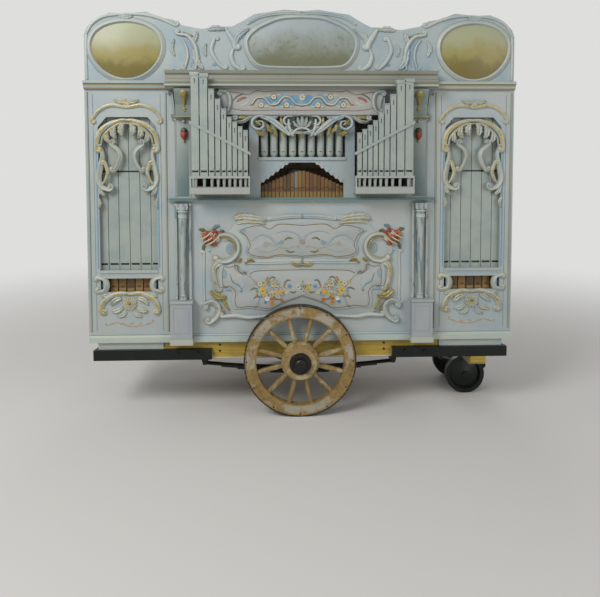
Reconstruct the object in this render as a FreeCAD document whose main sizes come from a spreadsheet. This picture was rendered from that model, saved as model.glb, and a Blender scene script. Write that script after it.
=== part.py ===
import FreeCAD, Part
import math
import os
import re
import Sketcher

# A street barrel organ on a sprung cart.
# Frame: X runs along the organ to the right of someone who faces the carved front, Y runs
# back from that front to the crank side, Z is up. The origin is on the ground, midway
# between the ends and midway between the hub caps of the two big wheels.
# Pieces are built from the ground up: cart, wheels, case, bellows and crank, carved front.

DIMS = {
    # big wheels
    "wheel_dia": 800, "wheel_x": -20, "tyre_thick": 10, "rim_width": 56,
    "felloe_depth": 76, "felloe_count": 6, "spoke_count": 12, "spoke_wide": 46, "spoke_thin": 30,
    "tenon_wide": 34, "tenon_thin": 20, "tenon_deep": 34, "saw_kerf": 1.5,
    "nave_back": 70, "nave_front": 75, "nave_belly": 135, "nave_neck": 96, "nave_nose": 114,
    "box_wall": 13, "hub_plate": 77, "hub_plate_thick": 8, "cap_dia": 76, "cap_reach": 122,
    "cap_wall": 4,
    # cart
    "axle_dia": 60, "axle_square": 50, "bump_gap": 28, "axle_web": 30,
    "beam_bottom": 385, "beam_height": 130, "beam_width": 80,
    "cross_wide": 70, "cross_high": 100,
    "channel_start": 655, "channel_bottom": 388, "channel_height": 74, "channel_depth": 40,
    "channel_wall": 6, "bolt_dia": 16, "bolt_inner": 752, "bolt_outer": 898,
    "spring_half": 690, "spring_camber": 38, "leaf_thick": 8, "leaf_width": 60, "leaf_count": 5,
    "leaf_step": 118, "leaf_gap": 0.3, "eye_dia": 32, "eye_pin": 18, "ubolt_dia": 14,
    # steering truck
    "truck_x": 1290, "truck_wheel_dia": 300, "truck_track": 380, "truck_wheel_wide": 50,
    "truck_axle_dia": 28, "truck_block_high": 46, "ring_dia": 300, "ring_wide": 44,
    "ring_thick": 12, "kingpin_dia": 32, "bolster_wide": 110, "bolster_deep": 72,
    "clevis_reach": 205, "clevis_bore": 24, "clevis_gap": 24, "clevis_ear": 12,
    # case
    "case_half": 945, "case_depth": 900, "board": 20, "lower_height": 1041, "case_top": 2450,
    "rail_top": 1775, "door_gap": 4, "hinge_pin": 8, "hinge_tall": 60, "door_middle": -62,
    "wheel_clear": 30, "cabinet_depth": 445,
    # crank, bellows
    "crank_x": 430, "crank_z": 1060, "shaft_dia": 32, "throw": 40, "crank_pin": 28,
    "throw_front": -45, "flywheel_dia": 740, "fly_rim": 30, "fly_wide": 44,
    "fly_hub": 90, "fly_arms": 6, "arm_wide": 34, "arm_thick": 18,
    "grip_dia": 38, "grip_long": 112,
    "handle_dia": 18, "rod_wide": 30, "rod_thick": 16, "rod_long": 290, "run_gap": 0.05,
    "feeder_hinge_x": -500, "feeder_z": 670, "feeder_wide": 250, "feeder_thick": 20,
    "fold_high": 80, "bellows_right": 370, "bellows_left": -700, "trunk_wide": 90,
    "drive_pulley": 80, "roller_pulley": 160, "pulley_wide": 20, "belt_inset": 25,
    # key frame
    "key_left": -350, "key_right": -50, "key_reach": 240, "key_bottom": 1560, "key_table": 1690,
    "book_slot": 20, "lid_thick": 40, "roller_dia": 36,
    # carved front
    "front_thick": 40, "ledge_thick": 16,
    "pedestal_wide": 149, "pedestal_inset": 12, "pedestal_top": 827,
    "column_wide": 118, "chest_in": 366, "chest_out": 778,
    "chest_bottom": 1586, "chest_high": 52, "rack_z": 1698, "rack_high": 16,
    "pipe_depth": 36, "pipe_longest": 708, "pipe_wide": 53, "pipe_narrow": 29, "pipe_space": 7,
    "mouth_z": 1740, "mouth_high": 12, "niche_half": 311, "niche_rail": 1825, "rail_high": 21,
    "lace_thick": 14, "lace_edge": 13, "lace_run": 34, "lace_rise": 25, "lace_drop": 167,
    "round_dia": 52, "round_count": 9, "flute_count": 22, "flute_depth": 24,
    "cartouche_half": 655, "cartouche_high": 746, "cartouche_foot": 168,
    "upper_plate_half": 468, "upper_plate_high": 242, "lower_plate_half": 598,
    "lower_plate_high": 366, "plate_margin": 66, "crest_half": 496, "crest_drop": 169,
    "name_half": 586, "name_bottom": 2151, "name_high": 181,
    "cornice_bottom": 2324, "cornice_high": 126,
    "console_wide": 110, "console_bottom": 2137,
    # wings and attic
    "wing_outer": 1532, "wing_base": 515, "wing_thick": 25, "wing_window": 410,
    "wing_sill": 1038, "wing_head": 2120, "flute_sill": 881, "flute_head": 980,
    "wing_cornice": 2324, "wing_cornice_high": 60, "shell_high": 95, "apron_high": 78,
    "apron_drop": 102,
    "attic_top": 2880, "attic_thick": 22, "picture_half": 397, "picture_bottom": 2476,
    "picture_high": 372, "portrait_high": 410, "frame_wide": 25, "relief": 14,
    # sizes that follow others
    "beam_half": "case_half + 55", "channel_end": "wing_outer - 32",
    "wheel_track": "case_depth + 270", "beam_gauge": "case_depth - 40",
    "fly_start": "case_depth/2 + 38", "throw_back": "case_depth/2 - 175",
    "ledge_reach": "case_depth/2 + 80", "pedestal_reach": "case_depth/2 + 125",
    "chest_reach": "case_depth/2 + 195", "name_reach": "case_depth/2 + 90",
    "cornice_reach": "case_depth/2 + 150",
    "pedestal_out": "case_half - pedestal_inset", "pedestal_in": "case_half - pedestal_inset - pedestal_wide",
    "column_x": "case_half - 95", "console_x": "case_half - 108",
    "axle_drop": "wheel_dia/2 + axle_square/2 - beam_bottom + bump_gap",
    "wing_pipe_pitch": "(wing_outer - case_half - 2*board)/7.2",
    "wing_flute_pitch": "(wing_outer - case_half - 2*board)/9.1",
    "portrait_half": "(wing_outer - case_half)/2.133 - frame_wide",
}

doc = FreeCAD.newDocument("street_organ")
sheet = doc.addObject("Spreadsheet::Sheet", "dims")
for row, (alias, size) in enumerate(DIMS.items(), start=1):
    sheet.set(f"A{row}", alias)
    sheet.set(f"B{row}", "=" + size if isinstance(size, str) else str(size))
    sheet.setAlias(f"B{row}", alias)
doc.recompute()

NODES = {}
WORD = re.compile(r"[a-z][a-z_]*")
TURNS = {"X": FreeCAD.Rotation(FreeCAD.Vector(0, 1, 0), 90),
         "Y": FreeCAD.Rotation(FreeCAD.Vector(1, 0, 0), -90),
         "Z": FreeCAD.Rotation()}
HALF_TURN = FreeCAD.Rotation(FreeCAD.Vector(0, 0, 1), 180)


# ---- helpers -------------------------------------------------------------------------------

def linked(text):
    """The expression with each size's alias pointed at the sheet."""
    return WORD.sub(lambda m: "dims." + m.group(0) if m.group(0) in DIMS else m.group(0), str(text))


def val(text):
    """The number that an expression on the sheet's sizes comes to."""
    return float(sheet.evalExpression(linked(text)))


def bind(obj, **sizes):
    """Bind properties of an object to expressions."""
    for name, text in sizes.items():
        obj.setExpression(name, linked(text))
    return obj


def place(obj, x="0", y="0", z="0", turn=None):
    """Bind an object's place to expressions, after a fixed turn."""
    if turn is not None:
        obj.Placement = FreeCAD.Placement(FreeCAD.Vector(), turn)
    for axis, text in zip("xyz", (x, y, z)):
        obj.setExpression("Placement.Base." + axis, linked(text))
    return obj


def node(name, obj):
    """Name an object as one of the organ's sub-parts."""
    obj.Label = name
    NODES[name] = obj
    return obj


def box(x0, x1, y0, y1, z0, z1):
    """A board between six planes."""
    obj = doc.addObject("Part::Box", "board")
    bind(obj, Length=f"({x1}) - ({x0})", Width=f"({y1}) - ({y0})", Height=f"({z1}) - ({z0})")
    return place(obj, x0, y0, z0)


def rod(axis, dia, x, y, z, length):
    """A round bar that starts at a point and runs along an axis."""
    obj = doc.addObject("Part::Cylinder", "bar")
    bind(obj, Radius=f"({dia})/2", Height=length)
    return place(obj, x, y, z, TURNS[axis])


def cone(axis, dia0, dia1, x, y, z, length):
    """A tapered round bar."""
    obj = doc.addObject("Part::Cone", "taper")
    bind(obj, Radius1=f"({dia0})/2", Radius2=f"({dia1})/2", Height=length)
    return place(obj, x, y, z, TURNS[axis])


def prism(sides, axis, dia, x, y, z, length):
    """A bar with flat sides, measured across its corners."""
    obj = doc.addObject("Part::Prism", "prism")
    obj.Polygon = sides
    bind(obj, Circumradius=f"({dia})/2", Height=length)
    return place(obj, x, y, z, TURNS[axis])


def hexagon(axis, dia, x, y, z, length):
    """A six-sided bolt head or nut."""
    return prism(6, axis, dia, x, y, z, length)


def group(*parts):
    """Several separate solids as one sub-part."""
    obj = doc.addObject("Part::Compound", "group")
    obj.Links = list(parts)
    return obj


def fuse(*parts):
    """Pieces joined into one solid."""
    obj = doc.addObject("Part::MultiFuse", "joined")
    obj.Shapes = list(parts)
    return obj


def cut(base, *tools):
    """A piece with others taken out of it."""
    obj = doc.addObject("Part::Cut", "cut")
    obj.Base = base
    obj.Tool = tools[0] if len(tools) == 1 else group(*tools)
    return obj


def mirror(source, x=0, y=0):
    """A mirror image across the organ's middle plane, along X or along Y."""
    obj = doc.addObject("Part::Mirroring", "image")
    obj.Source = source
    obj.Normal = FreeCAD.Vector(x, y, 0)
    return obj


def pair(source, x=0, y=0):
    """A piece and its mirror image."""
    return group(source, mirror(source, x, y))


def solid(shape):
    """A shape made with Part's own functions, as an object."""
    obj = doc.addObject("Part::Feature", "shaped")
    obj.Shape = shape
    return obj


def sketched(body, role, outlines):
    """A sketch of closed outlines, each point bound to its two expressions."""
    plane = [f for f in body.Origin.OriginFeatures if f.Role == role][0]
    sketch = body.newObject("Sketcher::SketchObject", "outline")
    sketch.AttachmentSupport = [(plane, "")]
    sketch.MapMode = "FlatFace"
    for outline in outlines:
        points = [FreeCAD.Vector(val(a), val(b), 0) for a, b in outline]
        first = sketch.GeometryCount
        count = len(points)
        for i in range(count):
            sketch.addGeometry(Part.LineSegment(points[i], points[(i + 1) % count]), False)
        for i in range(count):
            sketch.addConstraint(
                Sketcher.Constraint("Coincident", first + i, 2, first + (i + 1) % count, 1))
        for i, texts in enumerate(outline):
            for kind, text, at in zip(("DistanceX", "DistanceY"), texts, points[i]):
                index = sketch.addConstraint(Sketcher.Constraint(kind, -1, 1, first + i, 1, at))
                sketch.setExpression(f"Constraints[{index}]", linked(text))
    return sketch


def turned(*outlines, axis="H_Axis"):
    """A body turned about the Y axis from outlines of (distance along Y, radius)."""
    body = doc.addObject("PartDesign::Body", "turned")
    sketch = sketched(body, "YZ_Plane", outlines)
    turning = body.newObject("PartDesign::Revolution", "turning")
    turning.Profile = sketch
    turning.ReferenceAxis = (sketch, [axis])
    turning.Angle = 360
    return body


def milled(role, length, *outlines):
    """A body padded from outlines: YZ runs along +X, XZ along -Y, XY along +Z."""
    body = doc.addObject("PartDesign::Body", "milled")
    pad = body.newObject("PartDesign::Pad", "length")
    sketch = sketched(body, role, outlines)
    pad.Profile = sketch
    body.removeObject(pad)
    body.addObject(pad)
    bind(pad, Length=length)
    return body


def moulding(x0, x1, outline):
    """A straight moulding along X from an outline of (Y, Z)."""
    return place(milled("YZ_Plane", f"({x1}) - ({x0})", outline), x0)


def fretted(y0, y1, *outlines):
    """A flat board between two Y planes from outlines of (X, Z)."""
    return place(milled("XZ_Plane", f"({y1}) - ({y0})", *outlines), y=y1)


def curved_face(points, centre, half, high):
    """A closed face in the XZ plane from the right half of an outline.

    Each point is (x, z, bulge) as shares of the half width and the height about the centre,
    from the top middle to the bottom middle. A bulge is the rise of an arc to the next point
    over its chord, cut as two or four straight runs, and 0 is one straight run.
    """
    cx, cz = centre
    right = [(x * half, z * high, bulge) for x, z, bulge in points]
    left = [(-x, z, right[i - 1][2]) for i, (x, z, _) in reversed(list(enumerate(right)))]
    ring = right[:-1] + left[:-1]
    if abs(right[-1][0]) > 1e-6:
        ring = right[:-1] + [(right[-1][0], right[-1][1], 0)] + left[:-1]
    corners = []
    for i, (x, z, bulge) in enumerate(ring):
        x2, z2, _ = ring[(i + 1) % len(ring)]
        a = FreeCAD.Vector(cx + x, 0, cz + z)
        b = FreeCAD.Vector(cx + x2, 0, cz + z2)
        if (b - a).Length < 1e-6:
            continue
        corners.append(a)
        if bulge:
            across = FreeCAD.Vector(b.z - a.z, 0, a.x - b.x)
            arc = Part.Arc(a, (a + b) * 0.5 - across * bulge, b).toShape()
            runs = 2 if abs(bulge) < 0.15 else 4
            corners += arc.discretize(runs + 1)[1:-1]
    return Part.Face(Part.makePolygon(corners + corners[:1]))


def raised(points, centre, half, high, y_back, thick, hole=0.0):
    """A carved plate from a curved face, with an optional hole of the same outline."""
    face = curved_face(points, centre, half, high)
    if hole:
        face = face.cut(curved_face(points, centre, half - hole, high - hole))
    shape = face.extrude(FreeCAD.Vector(0, -thick, 0))
    shape.translate(FreeCAD.Vector(0, y_back, 0))
    return shape.removeSplitter()


# ---- places worked out from the sizes ------------------------------------------------------

AXLE_Z = "wheel_dia/2"
WHEEL_Y = "wheel_track/2"
BEAM_IN = "(beam_gauge/2 - beam_width/2)"
BEAM_OUT = "(beam_gauge/2 + beam_width/2)"
CHANNEL_OUT = f"({BEAM_OUT} + channel_depth)"
CHANNEL_TOP = "(channel_bottom + channel_height)"
FLOOR = "(beam_bottom + beam_height)"
LEDGE = f"({FLOOR} + lower_height)"
SHELF = f"({LEDGE} - ledge_thick)"
BACK = "case_depth/2"
FRONT = f"({BACK} + front_thick)"
INSIDE = "(case_half - board)"
BAR_TOP = f"({AXLE_Z} - axle_drop + axle_square/2)"
LEAF_TOP = f"({BAR_TOP} - axle_square - leaf_gap)"
NAVE_IN = f"({WHEEL_Y} - nave_back)"
TRUCK_AXLE = "truck_wheel_dia/2"
BLOCK_TOP = f"({TRUCK_AXLE} + truck_axle_dia/2 + truck_block_high)"
RING_TOP = f"({BLOCK_TOP} + ring_thick + 0.3)"
BOLSTER_FOOT = f"({RING_TOP} + ring_thick)"
WING_IN = "(case_half + 0.5)"
WING_X = f"(({WING_IN} + wing_outer)/2)"
BELT_Y = f"({BACK} - board - belt_inset)"
ROLLER_Z = "(key_table - roller_dia/2 + 1)"
ROLLER_X = "(key_right + roller_dia/2 + 8)"
MIDDLE_POST = "((throw_back + throw_front)/2 - 20)"
FRONT_POST = "(throw_front - feeder_wide/2 - 45)"
CORNICE_TOP = "(cornice_bottom + cornice_high)"
DOOR_SILL = "(wheel_dia + wheel_clear)"
RADIAL = "run_gap"


# ---- cart ----------------------------------------------------------------------------------

def chassis():
    """Two long ash beams, four cross members and the bolster over the truck."""
    drill_z = "channel_bottom + channel_height/2 + 8"
    hole = "(bolt_dia/2 + 0.5)"
    beam = cut(box("-beam_half", "beam_half", f"-{BEAM_OUT}", f"-{BEAM_IN}", "beam_bottom", FLOOR),
               *[box(f"{s}*{x} - {hole}", f"{s}*{x} + {hole}", f"-{BEAM_OUT} - 1", f"-{BEAM_IN} + 1",
                     f"{drill_z} - {hole}", f"{drill_z} + {hole}")
                 for s in (-1, 1) for x in ("bolt_inner", "bolt_outer")])
    outer_x = "((bolt_inner + bolt_outer)/2 - 5)"
    cross = [box(f"{x} - cross_wide/2", f"{x} + cross_wide/2", f"-{BEAM_IN}", BEAM_IN,
                 f"{FLOOR} - cross_high", FLOOR)
             for x in (f"-{outer_x}", "-0.35*beam_half", "0.35*beam_half", outer_x)]
    plank_z = "(channel_bottom - bolster_deep)"
    outline = [(f"-{CHANNEL_OUT}", "channel_bottom"), (f"-{CHANNEL_OUT}", f"{plank_z} + 24"),
               (f"-{CHANNEL_OUT} + 40", plank_z), (f"{CHANNEL_OUT} - 40", plank_z),
               (CHANNEL_OUT, f"{plank_z} + 24"), (CHANNEL_OUT, "channel_bottom")]
    x0, x1 = "truck_x - bolster_wide/2", "truck_x + bolster_wide/2"
    bore = f"kingpin_dia + 2*{RADIAL}"
    plank = cut(moulding(x0, x1, outline),
                rod("Z", bore, "truck_x", "0", f"{plank_z} - 1", "bolster_deep + 2"))
    packing = cut(box(x0, x1, "-(ring_dia/2 - 30)", "ring_dia/2 - 30", BOLSTER_FOOT, plank_z),
                  rod("Z", bore, "truck_x", "0", f"{BOLSTER_FOOT} - 1", f"{plank_z} - {BOLSTER_FOOT} + 2"))
    node("chassis_beams", group(beam, mirror(beam, y=1), *cross, plank, packing))

    channel_outline = [
        (f"-{BEAM_OUT}", "channel_bottom"), (f"-{CHANNEL_OUT}", "channel_bottom"),
        (f"-{CHANNEL_OUT}", CHANNEL_TOP), (f"-{BEAM_OUT}", CHANNEL_TOP),
        (f"-{BEAM_OUT}", f"{CHANNEL_TOP} - channel_wall"),
        (f"-{CHANNEL_OUT} + channel_wall", f"{CHANNEL_TOP} - channel_wall"),
        (f"-{CHANNEL_OUT} + channel_wall", "channel_bottom + channel_wall"),
        (f"-{BEAM_OUT}", "channel_bottom + channel_wall")]
    channel = cut(moulding("channel_start", "channel_end", channel_outline),
                  *[box(f"{x} - {hole}", f"{x} + {hole}", f"-{CHANNEL_OUT} - 1",
                        f"-{CHANNEL_OUT} + channel_wall + 1", f"{drill_z} - {hole}", f"{drill_z} + {hole}")
                    for x in ("bolt_inner", "bolt_outer")])
    front = pair(channel, x=1)
    tie = box("channel_end - 12", "channel_end", f"-{CHANNEL_OUT} + channel_wall",
              f"{CHANNEL_OUT} - channel_wall", "channel_bottom + channel_wall",
              f"{CHANNEL_TOP} - channel_wall")
    node("end_channels", group(front, mirror(front, y=1), pair(tie, x=1)))

    bolts = []
    for x in ("bolt_inner", "bolt_outer"):
        head = hexagon("Y", "1.8*bolt_dia", x, f"-{CHANNEL_OUT} - 10", drill_z, "10")
        shank = box(f"{x} - bolt_dia/2", f"{x} + bolt_dia/2", f"-{CHANNEL_OUT} - 1", f"-{BEAM_IN} + 13",
                    f"{drill_z} - bolt_dia/2", f"{drill_z} + bolt_dia/2")
        nut = hexagon("Y", "1.8*bolt_dia", x, f"-{BEAM_IN}", drill_z, "12")
        bolts.append(fuse(head, shank, nut))
    front = pair(group(*bolts), x=1)
    node("chassis_bolts", group(front, mirror(front, y=1)))


def axle():
    """The cranked axle: a low square bar on the springs, and a stub for each wheel."""
    side = "axle_square/2"
    bar_end = f"({BEAM_OUT} + 5)"
    bar = box(f"wheel_x - {side}", f"wheel_x + {side}", f"-{bar_end}", bar_end,
              f"{BAR_TOP} - axle_square", BAR_TOP)
    web = box(f"wheel_x - {side}", f"wheel_x + {side}", f"-{bar_end} - axle_web", f"-{bar_end}",
              f"{BAR_TOP} - axle_square", f"{AXLE_Z} + axle_dia/2")
    stub = rod("Y", "axle_dia", "wheel_x", f"-{WHEEL_Y} - nave_front + 15", AXLE_Z,
               f"{WHEEL_Y} + nave_front - 15 - {bar_end} - axle_web/2")
    thread = rod("Y", "0.7*axle_dia", "wheel_x", f"-{WHEEL_Y} - nave_front - 26", AXLE_Z, "60")
    nut = hexagon("Y", "axle_dia + 2", "wheel_x", f"-{WHEEL_Y} - nave_front - 14", AXLE_Z, "24")
    end = fuse(web, stub, thread, nut)
    node("main_axle", fuse(bar, end, mirror(end, y=1)))


def leaf_shape(half, top, radius, thick, width, middle):
    """One spring leaf: a strip between two arcs about one centre above the axle."""
    x0, y0 = middle
    angle = math.asin(half / radius)
    arcs = []
    for r in (radius, radius + thick):
        ends = [FreeCAD.Vector(x0 + r * math.sin(a), y0, top + radius - r * math.cos(a))
                for a in (-angle, 0, angle)]
        arcs.append(Part.Arc(*ends).toShape())
    sides = [Part.LineSegment(arcs[0].Vertexes[i].Point, arcs[1].Vertexes[i].Point).toShape()
             for i in (0, 1)]
    wire = Part.Wire([arcs[0], sides[1], arcs[1], sides[0]])
    strip = Part.Face(wire).extrude(FreeCAD.Vector(0, width, 0))
    strip.translate(FreeCAD.Vector(0, -width / 2, 0))
    return strip


def many_sided(sides, radius, start, length):
    """A bar along Y with flat sides, from the centre of its first end."""
    steps = [2 * math.pi * k / sides for k in range(sides + 1)]
    corners = [start + FreeCAD.Vector(radius * math.cos(a), 0, radius * math.sin(a)) for a in steps]
    return Part.Face(Part.makePolygon(corners)).extrude(FreeCAD.Vector(0, length, 0))


def springs():
    """A pack of leaves under each end of the axle, its eyes, hangers and clamps."""
    half, camber = val("spring_half"), val("spring_camber")
    thick, width = val("leaf_thick"), val("leaf_width")
    radius = (half ** 2 + camber ** 2) / (2 * camber)
    top = val(LEAF_TOP)
    eye_r, pin_r = val("eye_dia") / 2, val(f"eye_pin/2 + {RADIAL}")
    packs = []
    for y0 in (-val("beam_gauge") / 2, val("beam_gauge") / 2):
        middle = (val("wheel_x"), y0)
        for i in range(int(val("leaf_count"))):
            drop = i * (thick + val("leaf_gap"))
            leaf = leaf_shape(half - i * val("leaf_step"), top - drop, radius + drop, thick, width, middle)
            for s in (-1, 1) if i == 0 else ():
                at = FreeCAD.Vector(middle[0] + s * half, y0 - width / 2, top + camber - thick + eye_r)
                leaf = leaf.fuse(many_sided(8, eye_r, at, width)).cut(many_sided(8, pin_r, at, width))
            packs.append(leaf)
    node("leaf_springs", solid(Part.makeCompound(packs)))

    eye_z = f"({LEAF_TOP} + spring_camber - leaf_thick + eye_dia/2)"
    gauge = "beam_gauge/2"
    irons = []
    for s in (-1, 1):
        x = f"(wheel_x + {s}*spring_half)"
        hanger = [box(f"{x} - 34", f"{x} + 34", f"-{gauge} - 42", f"-{gauge} + 42", "beam_bottom - 6",
                      "beam_bottom")]
        for side in (-1, 1):
            y = f"(-{gauge} + {side}*(leaf_width/2 + 5))"
            cheek = [(f"{x} - 26", "beam_bottom - 6"), (f"{x} - 14", f"{eye_z} - 18"),
                     (f"{x} + 14", f"{eye_z} - 18"), (f"{x} + 26", "beam_bottom - 6")]
            hanger.append(fretted(f"{y} - 4", f"{y} + 4", cheek))
        hanger.append(prism(8, "Y", "eye_pin", x, f"-{gauge} - leaf_width/2 - 18", eye_z, "leaf_width + 36"))
        irons.append(fuse(*hanger))
    pack = "(leaf_count*(leaf_thick + leaf_gap))"
    x0, x1, y0, y1 = "wheel_x - 50", "wheel_x + 50", f"-{gauge} - 44.5", f"-{gauge} + 44.5"
    plate = box(x0, x1, y0, y1, f"{LEAF_TOP} - {pack} - 10", f"{LEAF_TOP} - {pack}")
    strap = box(x0, x1, y0, y1, BAR_TOP, f"{BAR_TOP} + 8")
    side = "ubolt_dia/2"
    posts = []
    for sx in (-1, 1):
        for sy in (-1, 1):
            x, y = f"(wheel_x + {sx}*38)", f"(-{gauge} + {sy}*38)"
            posts.append(box(f"{x} - {side}", f"{x} + {side}", f"{y} - {side}", f"{y} + {side}",
                             f"{LEAF_TOP} - {pack} - 22", f"{BAR_TOP} + 18"))
    irons.append(fuse(plate, strap, *posts))
    front = group(*irons)
    node("spring_irons", group(front, mirror(front, y=1)))


def truck():
    """The small steering truck at the organ's right end, with its turntable and clevis."""
    half = "ring_dia/2"
    upper = cut(rod("Z", "ring_dia", "truck_x", "0", RING_TOP, "ring_thick"),
                rod("Z", "ring_dia - 2*ring_wide", "truck_x", "0", f"{RING_TOP} - 1", "ring_thick + 2"))
    web = box(f"truck_x - {half} + ring_wide - 6", f"truck_x + {half} - ring_wide + 6", "-30", "30",
              RING_TOP, BOLSTER_FOOT)
    pin = rod("Z", "kingpin_dia", "truck_x", "0", f"{TRUCK_AXLE} + truck_axle_dia/2 + 2",
              f"channel_bottom + 14 - {TRUCK_AXLE} - truck_axle_dia/2 - 2")
    nut = hexagon("Z", "2*kingpin_dia", "truck_x", "0", "channel_bottom", "26")
    node("turntable_irons", fuse(upper, web, pin, nut))

    wheel_in = "(truck_track/2 - truck_wheel_wide/2)"
    block_y = f"({wheel_in} - 14)"
    bottom = f"{TRUCK_AXLE} + truck_axle_dia/2"
    block_outline = [(f"-{block_y}", bottom), (f"-{block_y}", f"{BLOCK_TOP} - 16"),
                     (f"-{block_y} + 16", BLOCK_TOP), (f"{block_y} - 16", BLOCK_TOP),
                     (block_y, f"{BLOCK_TOP} - 16"), (block_y, bottom)]
    bore = rod("Z", f"kingpin_dia + 2*{RADIAL}", "truck_x", "0", f"{bottom} - 1", "truck_block_high + 2")
    node("truck_block", cut(moulding("truck_x - 60", "truck_x + 60", block_outline), bore))

    lower = cut(rod("Z", "ring_dia", "truck_x", "0", BLOCK_TOP, "ring_thick"),
                rod("Z", "ring_dia - 2*ring_wide", "truck_x", "0", f"{BLOCK_TOP} - 1", "ring_thick + 2"))
    bar = box("truck_x - truck_axle_dia/2", "truck_x + truck_axle_dia/2", f"-{block_y}", block_y,
              f"{TRUCK_AXLE} - truck_axle_dia/2", bottom)
    journal_end = "(truck_track/2 + truck_wheel_wide/2 + 4)"
    journal = rod("Y", "truck_axle_dia", "truck_x", f"-{journal_end}", TRUCK_AXLE, f"2*{journal_end}")
    nuts = [hexagon("Y", "1.9*truck_axle_dia", "truck_x", y, TRUCK_AXLE, "14")
            for y in (f"-{journal_end} - 13", f"{journal_end} - 1")]
    ear_y = "(clevis_gap/2 + clevis_ear)"
    tip = "(truck_x + clevis_reach)"
    shank = box("truck_x + truck_axle_dia/2", f"{tip} - 34", f"-{ear_y}", ear_y,
                f"{TRUCK_AXLE} - 12", f"{TRUCK_AXLE} + 12")
    ears = []
    for y in (f"-{ear_y}", "clevis_gap/2"):
        ear = [(f"{tip} - 34", f"{TRUCK_AXLE} - 12"), (f"{tip} - 20", f"{TRUCK_AXLE} - 24"),
               (f"{tip} + 8", f"{TRUCK_AXLE} - 24"), (f"{tip} + 24", f"{TRUCK_AXLE} - 12"),
               (f"{tip} + 24", f"{TRUCK_AXLE} + 12"), (f"{tip} + 8", f"{TRUCK_AXLE} + 24"),
               (f"{tip} - 20", f"{TRUCK_AXLE} + 24"), (f"{tip} - 34", f"{TRUCK_AXLE} + 12")]
        ears.append(cut(fretted(y, f"{y} + clevis_ear", ear),
                        rod("Y", "clevis_bore", tip, f"{y} - 1", TRUCK_AXLE, "clevis_ear + 2")))
    node("truck_irons", group(lower, fuse(bar, journal, *nuts), fuse(shank, *ears)))

    wide, hub = "truck_wheel_wide/2", "(1.9*truck_axle_dia)"
    bore_r = f"(truck_axle_dia/2 + {RADIAL})"
    rim_in = "(truck_wheel_dia/2 - 30)"
    for name, side in (("truck_wheel_front", -1), ("truck_wheel_rear", 1)):
        outline = [(f"-{wide}", "truck_wheel_dia/2"), (wide, "truck_wheel_dia/2"), (wide, rim_in),
                   ("7", f"{rim_in} - 10"), (f"{wide} + 3", f"{hub}/2"),
                   (f"{wide} + 3", bore_r), (f"-{wide} - 3", bore_r), (f"-{wide} - 3", f"{hub}/2"),
                   ("-7", f"{rim_in} - 10"), (f"-{wide}", rim_in)]
        node(name, place(turned(outline), "truck_x", f"{side}*truck_track/2", TRUCK_AXLE))


# ---- big wheels ----------------------------------------------------------------------------

def spoke_shape():
    """One spoke about the hub's centre: a square tenon, then a chamfered shaft that thins."""
    root = val("nave_belly")
    tip = val("wheel_dia/2 - tyre_thick - felloe_depth") - 0.5
    sections = []
    shoulder = root + val("tenon_deep")
    for z, wide, thin in ((root + 1, 1.0, 0.8), (shoulder, 1.0, 1.0), (tip, 0.72, 0.9)):
        a, b = thin * val("spoke_thin") / 2, wide * val("spoke_wide") / 2
        c = 0.45 * a
        corners = [FreeCAD.Vector(x, y, z)
                   for x, y in ((a, b - c), (a - c, b), (c - a, b), (-a, b - c), (-a, c - b), (c - a, -b),
                                (a - c, -b), (a, c - b), (a, b - c))]
        sections.append(Part.makePolygon(corners))
    shaft = Part.makeLoft(sections, True, True)
    wide, thin, deep = val("tenon_wide"), val("tenon_thin"), val("tenon_deep")
    tenon = Part.makeBox(thin, wide, deep + 4, FreeCAD.Vector(-thin / 2, -wide / 2, root - deep))
    return shaft.fuse(tenon).removeSplitter()


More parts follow.
